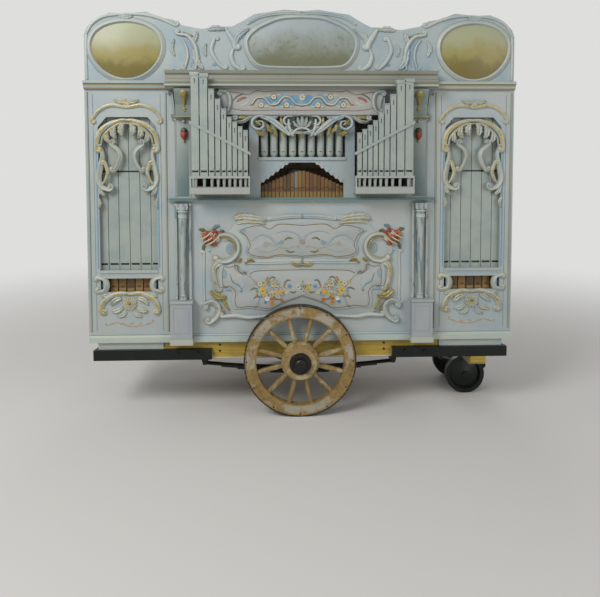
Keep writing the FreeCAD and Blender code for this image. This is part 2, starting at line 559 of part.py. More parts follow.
def road_wheel(name, side):
    """One big wheel: tyre, felloes, spokes, nave and irons, turned about its own axle."""
    turn = HALF_TURN if side < 0 else FreeCAD.Rotation()
    where = ("wheel_x", f"{side}*{WHEEL_Y}", AXLE_Z)
    half = "rim_width/2"
    rim = "(wheel_dia/2 - tyre_thick)"
    inner = f"({rim} - felloe_depth)"
    tyre = turned([(f"-{half}", rim), (half, rim), (half, "wheel_dia/2"), (f"-{half}", "wheel_dia/2")])
    node(name + "_tyre", place(tyre, *where, turn=turn))

    felloes = doc.addObject("PartDesign::Body", "felloes")
    sketch = sketched(felloes, "YZ_Plane", [[(f"-{half}", inner), (half, inner), (half, f"{rim} - 0.3"),
                                             (f"-{half}", f"{rim} - 0.3")]])
    sweep = felloes.newObject("PartDesign::Revolution", "felloe")
    sweep.Profile = sketch
    sweep.ReferenceAxis = (sketch, ["H_Axis"])
    bind(sweep, Angle=f"360/felloe_count - saw_kerf/({rim})*180/pi")
    doc.recompute()
    pattern = felloes.newObject("PartDesign::PolarPattern", "felloe_ring")
    pattern.Originals = [sweep]
    pattern.Axis = (sketch, ["H_Axis"])
    pattern.Angle = 360
    bind(pattern, Occurrences="felloe_count")
    felloes.Tip = pattern
    node(name + "_felloes", place(felloes, *where, turn=turn))

    count = int(val("spoke_count"))
    one = spoke_shape()
    spokes = []
    for k in range(count):
        spoke = one.copy()
        spoke.rotate(FreeCAD.Vector(), FreeCAD.Vector(0, 1, 0), 360.0 * (k + 0.5) / count)
        spokes.append(spoke)
    made = solid(Part.makeCompound(spokes))
    node(name + "_spokes", place(made, *where, turn=turn))

    bore = f"(axle_dia/2 + {RADIAL} + box_wall)"
    nave = turned([("-nave_back", bore), ("-nave_back", "nave_neck"), ("-rim_width/2 - 8", "nave_belly"),
                   ("rim_width/2 + 8", "nave_belly"), ("nave_front", "nave_nose"), ("nave_front", bore)])
    fit = 0.1
    mortise = Part.makeBox(val("tenon_thin") + 2 * fit, val("tenon_wide") + 2 * fit, val("tenon_deep") + 20,
                           FreeCAD.Vector(-val("tenon_thin") / 2 - fit, -val("tenon_wide") / 2 - fit,
                                          val("nave_belly - tenon_deep") - fit))
    mortises = []
    for k in range(count):
        hole = mortise.copy()
        hole.rotate(FreeCAD.Vector(), FreeCAD.Vector(0, 1, 0), 360.0 * (k + 0.5) / count)
        mortises.append(hole)
    node(name + "_nave", place(cut(nave, solid(Part.makeCompound(mortises))), *where, turn=turn))

    sleeve_in = f"(axle_dia/2 + {RADIAL})"
    sleeve = [("-nave_back - 2", sleeve_in), ("-nave_back - 2", f"{bore} - 0.1"),
              ("nave_front - 13", f"{bore} - 0.1"), ("nave_front - 13", sleeve_in)]
    plate_out = "(nave_front + hub_plate_thick)"
    cap_in = "(cap_dia/2 - cap_wall)"
    cap = [("nave_front", cap_in), ("nave_front", "hub_plate"), (plate_out, "hub_plate"),
           (plate_out, "cap_dia/2"), ("cap_reach - 6", "cap_dia/2"),
           ("cap_reach", "cap_dia/2 - 8"), ("cap_reach", "0"), ("cap_reach - cap_wall", "0"),
           ("cap_reach - cap_wall", cap_in)]
    rise = "14*(nave_belly - nave_neck)/(nave_back - rim_width/2 - 8)"
    band = [("-nave_back", "nave_neck + 0.4"), ("-nave_back", "nave_neck + 5"),
            ("-nave_back + 14", f"nave_neck + 5 + {rise}"), ("-nave_back + 14", f"nave_neck + 0.4 + {rise}")]
    node(name + "_hub_irons", place(turned(sleeve, cap, band), *where, turn=turn))


# ---- case ----------------------------------------------------------------------------------

def case():
    """Floor, shelf, roof, back boards, sides, and the cabinets behind the wings."""
    floor = box(f"-{INSIDE}", INSIDE, f"-{BACK}", BACK, FLOOR, f"{FLOOR} + board")
    trunk_x = "(bellows_left + 60)"
    shelf = cut(box(f"-{INSIDE}", INSIDE, f"-{BACK}", BACK, f"{SHELF} - board", SHELF),
                box(f"{trunk_x} - trunk_wide/2 - 2", f"{trunk_x} + trunk_wide/2 + 2", "-222", "-128",
                    f"{SHELF} - board - 1", f"{SHELF} + 1"),
                box(ROLLER_X, "crank_x - 235", f"{BELT_Y} - 15", f"{BELT_Y} + 15", f"{SHELF} - board - 1",
                    f"{SHELF} + 1"))
    roof = box(f"-{INSIDE}", INSIDE, f"-{BACK}", BACK, "case_top - board", "case_top")
    rail = cut(box(f"-{INSIDE}", INSIDE, f"{BACK} - board", BACK, SHELF, "rail_top"),
               rod("Y", f"16 + 2*{RADIAL}", ROLLER_X, f"{BACK} - board - 1", ROLLER_Z, "board + 2"))
    left, low, high = "door_middle + door_gap/2", f"{FLOOR} + board", f"{SHELF} - board"
    panel = cut(fretted(f"{BACK} - board", BACK,
                        [(f"-{INSIDE}", low), (INSIDE, low), (INSIDE, high), (left, high), (left, DOOR_SILL),
                         (f"-{INSIDE}", DOOR_SILL)]),
                rod("Y", "1.9*shaft_dia", "crank_x", f"{BACK} - board - 1", "crank_z", "board + 2"))
    node("case_boards", group(floor, shelf, roof, rail, panel))

    side = box(INSIDE, "case_half", f"-{BACK}", BACK, FLOOR, "case_top")
    node("case_sides", pair(side, x=1))

    front = f"(-{FRONT} + wing_thick)"
    back = f"({front} + cabinet_depth)"
    top = "wing_cornice"
    inner, outer = WING_IN, "wing_outer"
    boards = [box(inner, f"{inner} + board", front, back, "wing_base", top),
              box(f"{outer} - board", outer, front, back, "wing_base", top),
              box(f"{inner} + board", f"{outer} - board", f"{back} - board", back, "wing_base", top),
              box(f"{inner} + board", f"{outer} - board", front, f"{back} - board", "wing_base",
                  "wing_base + board"),
              box(f"{inner} + board", f"{outer} - board", front, f"{back} - board", f"{top} - board", top),
              box(f"{inner} + board", f"{outer} - board", front, f"{back} - board", "flute_sill - board - 8",
                  "flute_sill - 8"),
              box(f"{inner} + board", f"{outer} - board", front, f"{back} - board", "flute_head",
                  "flute_head + board"),
              box(f"{inner} + 60", f"{outer} - 60", f"-{CHANNEL_OUT} + 30", f"-{BEAM_OUT} + 50", CHANNEL_TOP,
                  "wing_base")]
    node("side_cabinets", pair(group(*boards), x=1))


def hinge(x, z, s):
    """One butt hinge: the case's eyes and pin, and the door's knuckle and leaf."""
    pin_y = f"({BACK} + hinge_pin + 0.5)"
    knuckle = "2*hinge_pin"
    eye = "(hinge_tall/4)"
    fixed = []
    for z0 in (z, f"{z} + hinge_tall - {eye}"):
        fixed.append(prism(8, "Z", knuckle, x, pin_y, z0, eye))
        leaf = (x, f"{x} + {s}*18")
        x0, x1 = leaf if s > 0 else leaf[::-1]
        fixed.append(box(x0, x1, BACK, f"{BACK} + 3.5", z0, f"{z0} + {eye}"))
    fixed.append(rod("Z", "hinge_pin", x, pin_y, z, "hinge_tall"))
    z1 = f"({z} + {eye} + 0.5)"
    tall = f"(hinge_tall - 2*{eye} - 1)"
    leaf = (f"{x} - {s}*46", f"{x} - {s}*4.5")
    x0, x1 = leaf if s > 0 else leaf[::-1]
    plate = box(x0, x1, BACK, f"{BACK} + 3.5", z1, f"{z1} + {tall}")
    door_half = cut(fuse(prism(8, "Z", knuckle, x, pin_y, z1, tall), plate),
                    rod("Z", f"hinge_pin + 2*{RADIAL}", x, pin_y, f"{z1} - 1", f"{tall} + 2"))
    return fuse(*fixed), door_half


def door(name, x0, x1, z0, z1, s):
    """A framed door in the back, hinged on its outer edge; returns its fixed hinge halves."""
    inner, outer = f"{BACK} - board", BACK
    panel = box(x0, x1, inner, outer, z0, z1)
    rail = 70
    recess = box(f"{x0} + {rail}", f"{x1} - {rail}", f"{outer} - 8", f"{outer} + 1", f"{z0} + {rail}",
                 f"{z1} - {rail}")
    hinge_x = f"({INSIDE})" if s > 0 else f"(-{INSIDE})"
    fixed, moving = [], []
    for z in (f"({z0} + 90)", f"({z1} - 90 - hinge_tall)"):
        eyes, leaf = hinge(hinge_x, z, s)
        fixed.append(eyes)
        moving.append(leaf)
    node(name, group(cut(panel, recess), *moving))
    return fixed


def doors():
    """The three back doors and the hinge halves that the case carries."""
    low, high = f"({DOOR_SILL} + door_gap)", f"({SHELF} - board - door_gap)"
    edge = f"({INSIDE} - door_gap)"
    hinges = door("rear_lower_door", f"-{edge}", "door_middle - door_gap/2", low, high, -1)
    low, high = "(rail_top + door_gap)", "(case_top - board - door_gap)"
    hinges += door("rear_door_left", f"-{edge}", "-door_gap/2", low, high, -1)
    hinges += door("rear_door_right", "door_gap/2", edge, low, high, 1)
    node("door_hinges", group(*hinges))


# ---- crank and bellows ---------------------------------------------------------------------

def flywheel():
    """The cast flywheel with bent arms, and the pin that the grip turns on."""
    rim_out, rim_in = val("flywheel_dia/2"), val("flywheel_dia/2 - fly_rim")
    wide, hub = val("fly_wide"), val("fly_hub/2")
    y = FreeCAD.Vector(0, 1, 0)
    wheel = Part.makeCylinder(rim_out, wide, FreeCAD.Vector(), y)
    wheel = wheel.cut(Part.makeCylinder(rim_in, wide, FreeCAD.Vector(), y))
    wheel = wheel.fuse(Part.makeCylinder(hub, wide + 16, FreeCAD.Vector(0, -8, 0), y))
    count = int(val("fly_arms"))
    root, tip, thick = val("arm_wide") / 2, 0.36 * val("arm_wide"), val("arm_thick")
    bend = 0.1 * rim_in
    start, end = hub - 6, rim_in + 6
    middle = (start + end) / 2
    outline = [(-root, start), (bend - 0.8 * root, middle), (-tip, end), (tip, end),
               (bend + 0.8 * root, middle), (root, start), (-root, start)]
    corners = [FreeCAD.Vector(x, (wide - thick) / 2, z) for x, z in outline]
    arm = Part.Face(Part.makePolygon(corners)).extrude(FreeCAD.Vector(0, thick, 0))
    for k in range(count):
        turned_arm = arm.copy()
        turned_arm.rotate(FreeCAD.Vector(), y, 360.0 * k / count)
        wheel = wheel.fuse(turned_arm)
    wheel = wheel.cut(Part.makeCylinder(val("shaft_dia/2") + 0.02, wide + 40, FreeCAD.Vector(0, -20, 0), y))
    wheel = place(solid(wheel.removeSplitter()), "crank_x", "fly_start", "crank_z")
    reach = "(flywheel_dia/2 - fly_rim/2)"
    z = f"crank_z - {reach}"
    face = "(fly_start + fly_wide)"
    boss = hexagon("Y", "fly_rim + 8", "crank_x", f"{face} - 4", z, "12")
    pin = rod("Y", "handle_dia", "crank_x", face, z, "grip_long + 14")
    stop = hexagon("Y", "1.5*handle_dia", "crank_x", f"{face} + grip_long + 10", z, "6")
    node("flywheel", fuse(wheel, boss, pin, stop))

    bore = f"(handle_dia/2 + {RADIAL})"
    grip = turned([("0", bore), ("0", "grip_dia/2 - 4"), ("0.5*grip_long", "grip_dia/2"),
                   ("grip_long", "grip_dia/2 - 6"), ("grip_long", bore)])
    node("crank_grip", place(grip, "crank_x", f"{face} + 9", z))


def pulley(dia):
    """A flat-belt pulley about its own middle."""
    half = "pulley_wide/2"
    return turned([(f"-{half}", "0"), (f"-{half}", f"{dia}/2"), (half, f"{dia}/2"), (half, "0")])


def crankshaft():
    """The forged shaft with its two throws, its bearings and the wooden connecting rods."""
    web = 14
    cheek = 12
    y_end = "fly_start + fly_wide + 8"
    pieces = [rod("Y", "shaft_dia", "crank_x", f"throw_back + {cheek}", "crank_z",
                  f"{y_end} + 12 - throw_back - {cheek}"),
              rod("Y", "shaft_dia", "crank_x", f"throw_front + {cheek}", "crank_z",
                  f"throw_back - throw_front - 2*{cheek}"),
              rod("Y", "shaft_dia", "crank_x", f"{FRONT_POST} - 6", "crank_z",
                  f"throw_front - {cheek} - {FRONT_POST} + 6"),
              place(pulley("drive_pulley"), "crank_x", BELT_Y, "crank_z"),
              hexagon("Y", "1.6*shaft_dia", "crank_x", y_end, "crank_z", "14")]
    half = "(shaft_dia/2 + 6)"
    for y, s in (("throw_back", 1), ("throw_front", -1)):
        lo, hi = (half, f"(throw + {half})") if s > 0 else (f"(throw + {half})", half)
        for y0 in (f"{y} - {cheek} - {web}", f"{y} + {cheek}"):
            pieces.append(box(f"crank_x - {lo}", f"crank_x + {hi}", y0, f"{y0} + {web}", f"crank_z - {half}",
                              f"crank_z + {half}"))
        pieces.append(rod("Y", "crank_pin", f"crank_x + {s}*throw", f"{y} - {cheek} - 2", "crank_z",
                          f"2*{cheek} + 4"))
    node("crankshaft", fuse(*pieces))

    bore_r = f"(shaft_dia/2 + {RADIAL})"
    flange = place(turned([("0", bore_r), ("0", "1.5*shaft_dia"), ("10", "1.5*shaft_dia"),
                           ("26", "0.85*shaft_dia"), ("26", bore_r)]), "crank_x", BACK, "crank_z")
    blocks = [flange]
    for y in (f"({MIDDLE_POST} + 5)", f"({FRONT_POST} + 5)"):
        block = box("crank_x - 45", "crank_x + 45", y, f"{y} + 30", "crank_z - 30", "crank_z + 28")
        blocks.append(cut(block, rod("Y", f"2*{bore_r}", "crank_x", f"{y} - 1", "crank_z", "32")))
    node("crank_bearings", group(*blocks))

    for name, y, s in (("connecting_rod_rear", "throw_back", 1), ("connecting_rod_front", "throw_front", -1)):
        x = f"(crank_x + {s}*throw)"
        eye = rod("Y", "crank_pin + 32", x, f"{y} - {cheek} + 1", "crank_z", f"2*{cheek} - 2")
        shank = box(f"{x} - rod_wide/2", f"{x} + rod_wide/2", f"{y} - rod_thick/2", f"{y} + rod_thick/2",
                    "crank_z - rod_long", "crank_z")
        bore = rod("Y", f"crank_pin + 2*{RADIAL}", x, f"{y} - 20", "crank_z", "40")
        node(name, cut(fuse(eye, shank), bore))


def pleats(x0, x1, y0, y1, z0, z1, folds):
    """A leather bellows wall as a closed zigzag stack between two boards."""
    deep = 16
    left, right = [], []
    for k in range(2 * folds + 1):
        inset = deep if k % 2 else 0
        z = f"{z0} + ({z1} - ({z0}))*{k}/{2 * folds}"
        left.append((f"{x0} + {inset}", z))
        right.append((f"{x1} - {inset}", z))
    return fretted(y0, y1, left + right[::-1])


def bellows():
    """Two feeders under a reservoir, on a bearer frame that also carries the crank's bearings."""
    lower = "(feeder_z + feeder_thick/2)"
    fixed0 = f"({lower} + fold_high)"
    fixed1 = f"({fixed0} + 22)"
    top0 = f"({fixed1} + fold_high)"
    floor = f"({FLOOR} + board)"
    hx = "feeder_hinge_x"
    y_front, y_back = "(throw_front - feeder_wide/2 - 60)", f"({BACK} - board)"
    front0, front1 = "throw_front - feeder_wide/2", "throw_front + feeder_wide/2"
    back0, back1 = "throw_back - feeder_wide/2", "throw_back + feeder_wide/2"
    leg_front = (y_front, f"{y_front} + 45")
    leg_back = (f"{y_back} - 25", y_back)
    board = box("bellows_left", "bellows_right", y_front, y_back, fixed0, fixed1)
    parts = [board]
    for x0, x1 in ((f"{hx} - 60", f"{hx} - 15"), ("bellows_right - 45", "bellows_right")):
        for y0, y1 in (leg_front, leg_back):
            parts.append(box(x0, x1, y0, y1, floor, fixed0))
    rail = [box(f"{hx} - 60", f"{hx} - 15", leg_front[1], leg_back[0], "feeder_z - 30", "feeder_z + 30")]
    free_spans = ((leg_front[1], f"{front0} - 1"), (f"{front1} + 1", f"{back0} - 1"),
                  (f"{back1} + 1", leg_back[0]))
    for y0, y1 in free_spans:
        rail.append(box(f"{hx} - 15", f"{hx} + 14", y0, y1, "feeder_z - 14", "feeder_z + 14"))
    rail.append(rod("Y", "10", hx, leg_front[1], "feeder_z", f"{leg_back[0]} - ({leg_front[1]})"))
    parts.append(fuse(*rail))
    for y in (MIDDLE_POST, FRONT_POST):
        parts.append(box("crank_x - 30", "crank_x + 30", y, f"{y} + 40", floor, "crank_z - 30"))
    node("bellows_boards", group(*parts))

    for name, y in (("feeder_board_rear", "throw_back"), ("feeder_board_front", "throw_front")):
        y0, y1 = f"{y} - feeder_wide/2", f"{y} + feeder_wide/2"
        plank = cut(box(f"{hx} - 12", "crank_x + 40", y0, y1, "feeder_z - feeder_thick/2", lower),
                    rod("Y", f"10 + 2*{RADIAL}", hx, f"{y0} - 1", "feeder_z", "feeder_wide + 2"))
        ears = [box("crank_x - 30", "crank_x + 30", f"{y} + {a}", f"{y} + {b}", lower,
                    f"{lower} + 2*fold_high") for a, b in ((-21, -13), (13, 21))]
        node(name, group(plank, *ears))

    folds = [pleats(f"{hx} + 20", "bellows_right - 10", f"{y} - feeder_wide/2 + 10",
                    f"{y} + feeder_wide/2 - 10", lower, fixed0, 3) for y in ("throw_back", "throw_front")]
    folds.append(pleats(f"{hx} + 20", "bellows_right - 70", f"{y_front} + 30", f"{y_back} - 30",
                        fixed1, top0, 3))
    node("bellows_folds", group(*folds))

    lid = box(f"{hx} + 10", "bellows_right - 60", f"{y_front} + 20", f"{y_back} - 20", top0, f"{top0} + 22")
    weights = [box(f"{x} - 60", f"{x} + 60", "60", "140", f"{top0} + 22", f"{top0} + 62")
               for x in ("-300", "100")]
    node("reservoir_top", group(lid, *weights))

    trunk_x = "(bellows_left + 60)"
    trunk = box(f"{trunk_x} - trunk_wide/2", f"{trunk_x} + trunk_wide/2", "-220", "-130", fixed1, SHELF)
    chest_top = f"({SHELF} + 80)"
    chest = box(f"-{INSIDE} + 20", f"{INSIDE} - 20", f"-{BACK} + 45", "-100", SHELF, chest_top)
    node("wind_chest", group(trunk, chest))


def key_frame():
    """The key frame behind the case: bed, hinged lid and the roller that draws the book."""
    y0, y1 = BACK, f"({BACK} + key_reach)"
    table = "key_table"
    bed = [box("key_left", "key_right", y0, y1, "key_bottom", table)]
    roller_x, roller_z = ROLLER_X, ROLLER_Z
    for y in (f"({y0} + 14)", f"({y1} - 26)"):
        ear = box("key_right", f"{roller_x} + 14", y, f"{y} + 12", f"{roller_z} - 16", f"{roller_z} + 12")
        bed.append(cut(ear, rod("Y", f"16 + 2*{RADIAL}", roller_x, f"{y} - 1", roller_z, "14")))
    lid_z = f"({table} + book_slot)"
    post = box("key_left", "key_right", y0, f"{y0} + 18", table, f"{lid_z} + lid_thick + 6")
    pin_y, pin_z = f"({y0} + 40)", f"({lid_z} + lid_thick/2)"
    arms = [box(x, f"{x} + 12", f"{y0} + 18", f"{pin_y} + 9", f"{pin_z} - 10", f"{pin_z} + 10")
            for x in ("key_left", "key_right - 12")]
    pin = rod("X", "10", "key_left", pin_y, pin_z, "key_right - key_left")
    node("key_frame", fuse(*bed, post, *arms, pin))

    x0, x1 = "(key_left + 13)", "(key_right - 13)"
    barrel = cut(box(x0, x1, f"{pin_y} - 12", f"{pin_y} + 12", f"{pin_z} - 12", f"{pin_z} + 12"),
                 rod("X", f"10 + 2*{RADIAL}", f"{x0} - 1", pin_y, pin_z, f"{x1} - {x0} + 2"))
    lid = box(x0, x1, f"{pin_y} + 12", f"{y1} - 4", lid_z, f"{lid_z} + lid_thick")
    knob = prism(8, "Z", "26", f"({x0} + {x1})/2", f"{y1} - 30", f"{lid_z} + lid_thick", "22")
    node("key_frame_lid", group(lid, barrel, knob))

    body = turned([("27", "0"), ("27", "roller_dia/2"), ("key_reach - 27", "roller_dia/2"),
                   ("key_reach - 27", "8"), ("key_reach + 4", "8"), ("key_reach + 4", "0")])
    start = "(board + belt_inset + pulley_wide/2 + 4)"
    tail = rod("Y", "16", "0", f"-{start}", "0", f"{start} + 28")
    wheel = place(pulley("roller_pulley"), y="-board - belt_inset")
    node("book_roller", place(fuse(body, tail, wheel), roller_x, y0, roller_z))


# ---- carved front --------------------------------------------------------------------------

def lower_front():
    """The big lower panel with base and ledge, the pedestals, columns and the cartouche."""
    f = FRONT
    outline = [(f"-{BACK}", FLOOR), (f"-{f} - 15", FLOOR), (f"-{f} - 15", f"{FLOOR} + 42"),
               (f"-{f}", f"{FLOOR} + 56"), (f"-{f}", f"{SHELF} - 22"), (f"-{f} - 14", f"{SHELF} - 10"),
               ("-ledge_reach", SHELF), ("-ledge_reach", LEDGE), (f"-{BACK}", LEDGE)]
    node("facade_lower_panel", moulding("-case_half", "case_half", outline))

    plinth = box("pedestal_in - 6", "pedestal_out + 6", "-pedestal_reach - 8", f"-{f} - 15", FLOOR,
                 f"{FLOOR} + 42")
    die = box("pedestal_in", "pedestal_out", "-pedestal_reach", f"-{f}", f"{FLOOR} + 56", "pedestal_top - 22")
    neck = box("pedestal_in", "pedestal_out", "-pedestal_reach", f"-{f} - 15", f"{FLOOR} + 42",
               f"{FLOOR} + 56")
    cap = moulding("pedestal_in - 6", "pedestal_out + 6",
                   [(f"-{f}", "pedestal_top - 22"), ("-pedestal_reach", "pedestal_top - 22"),
                    ("-pedestal_reach - 8", "pedestal_top - 16"), ("-pedestal_reach - 8", "pedestal_top - 4"),
                    ("-pedestal_reach - 4", "pedestal_top"), (f"-{f}", "pedestal_top")])
    node("pedestals", pair(group(plinth, neck, die, cap), x=1))

    top = f"({SHELF} - 22)"
    strip = box("column_x - column_wide/2", "column_x + column_wide/2", f"-{f} - 10", f"-{f}",
                "pedestal_top", top)
    middle_y = f"(-{f} - 10 - 26)"
    shaft = cone("Z", "26", "58", "column_x", middle_y, "pedestal_top + 30", f"{top} - pedestal_top - 90")
    foot = prism(8, "Z", "46", "column_x", middle_y, "pedestal_top", "30")
    head = fuse(prism(8, "Z", "66", "column_x", middle_y, f"{top} - 60", "18"),
                box("column_x - 40", "column_x + 40", f"{middle_y} - 24", f"-{f} - 10", f"{top} - 42", top))
    reeds = [box(f"column_x + {s}*50 - 8", f"column_x + {s}*50 + 8", f"-{f} - 24", f"-{f} - 10",
                 "pedestal_top", top) for s in (-1, 1)]
    node("marbled_columns", pair(group(fuse(strip, foot, shaft, head), *reeds), x=1))


UPPER_PLATE = ((0, 0.80, 0.05), (0.16, 0.94, 0.08), (0.72, 0.92, 0.10), (1.0, 0.70, -0.12),
               (0.90, 0.30, -0.18), (0.88, -0.55, -0.15), (0.74, -0.92, 0.10), (0.30, -0.86, 0.06),
               (0, -0.72, 0))
LOWER_PLATE = ((0, 0.86, 0.06), (0.28, 0.78, 0.05), (0.62, 0.66, 0.10), (0.78, 0.98, 0), (1.0, 0.94, 0),
               (0.98, 0.34, 0.10), (0.88, 0.20, -0.25), (0.84, -0.30, 0), (0.85, -0.96, 0.06),
               (0.40, -0.92, -0.06), (0, -0.62, 0))
GROUND = ((0, 1.0, 0), (0.62, 0.97, 0.10), (0.80, 0.70, -0.15), (1.0, 0.34, 0.2), (0.94, 0.02, -0.1),
          (0.90, -0.50, 0.1), (0.78, -0.90, 0.15), (0.62, -1.0, 0), (0, -1.0, 0))
PICTURE = ((0, 1.0, 0.08), (0.45, 0.90, 0.10), (0.80, 0.55, 0.12), (1.0, -0.10, 0.16), (0.86, -0.78, 0.10),
           (0.60, -1.0, 0), (0, -1.0, 0))
OVAL = ((0, 1.0, 0.207), (1.0, 0.1, 0.18), (0.80, -0.80, 0.12), (0.45, -1.0, 0), (0, -1.0, 0))


def half_round(centre, dia, tube, start, sweep, y):
    """A carved scroll as a flat bar bent to an arc on the front, clockwise from the +X side."""
    steps = round(sweep / 24)
    angles = [math.radians(start + sweep * k / steps) for k in range(steps + 1)]
    inner, outer = ([FreeCAD.Vector(centre[0] + r * math.cos(a), y, centre[1] - r * math.sin(a))
                     for a in angles] for r in ((dia - tube) / 2, (dia + tube) / 2))
    outline = inner + outer[::-1] + inner[:1]
    return Part.Face(Part.makePolygon(outline)).extrude(FreeCAD.Vector(0, -tube / 2, 0))


def half_bar(half, z, tube, y):
    """A straight moulding with two bevels across the front, equally far each way from the middle."""
    r = tube / 2
    corners = [FreeCAD.Vector(-half, y - out, z + up)
               for out, up in ((0, -r), (r, -0.4 * r), (r, 0.4 * r), (0, r), (0, -r))]
    return Part.Face(Part.makePolygon(corners)).extrude(FreeCAD.Vector(2 * half, 0, 0))


def with_images(shapes, x=0.0):
    """Shapes and their mirror images across the plane at x."""
    across = FreeCAD.Vector(1, 0, 0)
    return shapes + [shape.mirror(FreeCAD.Vector(x, 0, 0), across) for shape in shapes]


def cartouche():
    """The carved frame on the lower panel: ground, two painted plates, mouldings and scrolls."""
    face, relief = -val(FRONT), val("relief")
    half, high = val("cartouche_half"), val("cartouche_high") / 2
    foot = val(f"{FLOOR} + cartouche_foot")
    upper_half, upper_high = val("upper_plate_half"), val("upper_plate_high") / 2
    lower_half, lower_high = val("lower_plate_half"), val("lower_plate_high") / 2
    top = foot + 2 * high
    margin = val("plate_margin")
    y = face - relief
    ground = raised(GROUND, (0, foot + high), half, high, face, relief)
    upper = raised(UPPER_PLATE, (0, top - margin - upper_high), upper_half, upper_high, y, relief * 0.6)
    lower = raised(LOWER_PLATE, (0, foot + margin + 3 + lower_high), lower_half, lower_high, y, relief * 0.6)
    scrolls = [half_round((half - 96, top - 221), 150, 24, -120, 235, y),
               half_round((half - 66, foot + 130), 92, 22, 20, 215, y)]
    bars = [half_bar(0.4 * half, top - 24, 22, y),
            half_bar(0.8 * upper_half, top - margin - 2 * upper_high - 16, 14, y)]
    node("lower_cartouche", solid(Part.makeCompound([ground, upper, lower, *with_images(scrolls), *bars])))


LACE_STEPS = 6


def upper_front():
    """Stiles, rails and the fretted arch that frame the pipes above the ledge."""
    y0, y1 = f"-{FRONT}", f"-{BACK}"
    head = "(name_bottom - 8)"
    slat = "(chest_in + 12)"
    outer = box("chest_out - 8", "case_half", y0, y1, LEDGE, head)
    inner = box("niche_half", slat, y0, y1, LEDGE, head)
    sill = box(slat, "chest_out - 8", y0, y1, LEDGE, "chest_bottom + chest_high")
    side = group(outer, inner, sill)
    frieze = box("-case_half", "case_half", y0, y1, head, "cornice_bottom")
    rail = box("-niche_half", "niche_half", f"-{FRONT} - 10", f"-{BACK} + 50", "niche_rail",
               "niche_rail + rail_high")
    arch = []
    for k in range(LACE_STEPS):
        x = f"(niche_half - lace_edge - {k}*lace_run)"
        z = f"(niche_rail - lace_drop + {k}*lace_rise)"
        slat = [(x, "niche_rail"), (x, z), (f"{x} - lace_run/4", f"{z} + 10"),
                (f"{x} - 2*lace_run/3", f"{z} + 6"), (f"{x} - lace_run", f"{z} + lace_rise"),
                (f"{x} - lace_run", "niche_rail")]
        arch.append(fretted(y0, f"{y0} + lace_thick", slat))
    arch.append(box("niche_half - lace_edge", "niche_half", y0, f"{y0} + lace_thick", LEDGE, "niche_rail"))
    crown = f"(niche_half - lace_edge - {LACE_STEPS}*lace_run)"
    keystone = box(f"-{crown}", crown, y0, f"{y0} + lace_thick",
                   f"niche_rail - lace_drop + {LACE_STEPS}*lace_rise", "niche_rail")
    node("facade_upper_frame", group(pair(side, x=1), frieze, rail, pair(group(*arch), x=1), keystone))


PIPE_STEPS = (0, 0.12, 1.65, 2.8, 4.05, 5.3, 6.13, 6.96, 7.7)
PIPE_SHARES = (1, 0.96, 0.38, 0.22, 0.16, 0.05, 0.05, 0.05, 0)


def front_pipes():
    """Nine square wooden pipes on each side, on their chest, with rack and slanting stay."""
    ratio = 0.9
    for_side = {-1: 1.0, 1: 2 ** (-1 / 12)}
    pipes, chests = [], []
    y0 = "-(chest_reach - 5)"
    y1 = f"({y0} + pipe_depth)"
    rack_top = "(rack_z + rack_high)"
    chest_top = "(chest_bottom + chest_high)"
    for s, length in for_side.items():
        spans = pipe_spans(s)
        for step, (lo, hi) in zip(PIPE_STEPS, spans):
            top = f"({rack_top} + pipe_longest*{ratio ** step * length:.4f})"
            body = box(lo, hi, y0, y1, rack_top, top)
            mouth = box(f"{lo} + 5", f"{hi} - 5", f"{y0} - 1", f"{y0} + 9", "mouth_z", "mouth_z + mouth_high")
            x, y = f"({lo} + {hi})/2", f"({y0} + {y1})/2"
            foot = prism(8, "Z", "17", x, y, chest_top, f"rack_z - {chest_top}")
            neck = prism(8, "Z", "22", x, y, "rack_z", "rack_high")
            pipes.append(fuse(cut(body, mouth), neck, foot))
        x0, x1 = ("chest_in", "chest_out") if s > 0 else ("-chest_out", "-chest_in")
        chest = box(x0, x1, "-chest_reach", f"-{FRONT}", "chest_bottom", chest_top)
        rack = cut(box(x0, x1, f"{y0} - 6", f"{y1} + 6", "rack_z", rack_top),
                   *[prism(8, "Z", "22.2", f"({lo} + {hi})/2", f"({y0} + {y1})/2", "rack_z - 1",
                           "rack_high + 2") for lo, hi in spans])
        cheeks = [box(a, b, "-chest_reach", f"{y1} + 6", chest_top, "rack_z")
                  for a, b in ((x0, f"{x0} + 10"), (f"{x1} - 10", x1))]
        chests += [chest, rack, *cheeks]
        low, high = f"({rack_top} + 142)", f"({rack_top} + 361)"
        ends = [("chest_in - 6", low), ("chest_in - 6", f"{low} + 20"), ("chest_out", f"{high} + 20"),
                ("chest_out", high)]
        if s < 0:
            ends = [(f"-({x})", z) for x, z in ends]
        chests.append(fretted(f"{y0} - 8", y0, ends))
    node("front_pipes", group(*pipes))
    node("front_pipe_chests", group(*chests))


def pipe_spans(s):
    """The left and right planes of each front pipe of one side, from the outside inwards."""
    spans = []
    x = "(chest_out - 12)"
    for share in PIPE_SHARES:
        x0 = f"({x} - pipe_narrow - (pipe_wide - pipe_narrow)*{share})"
        spans.append((x0, x) if s > 0 else (f"-{x}", f"-{x0}"))
        x = f"({x0} - pipe_space)"
    return spans


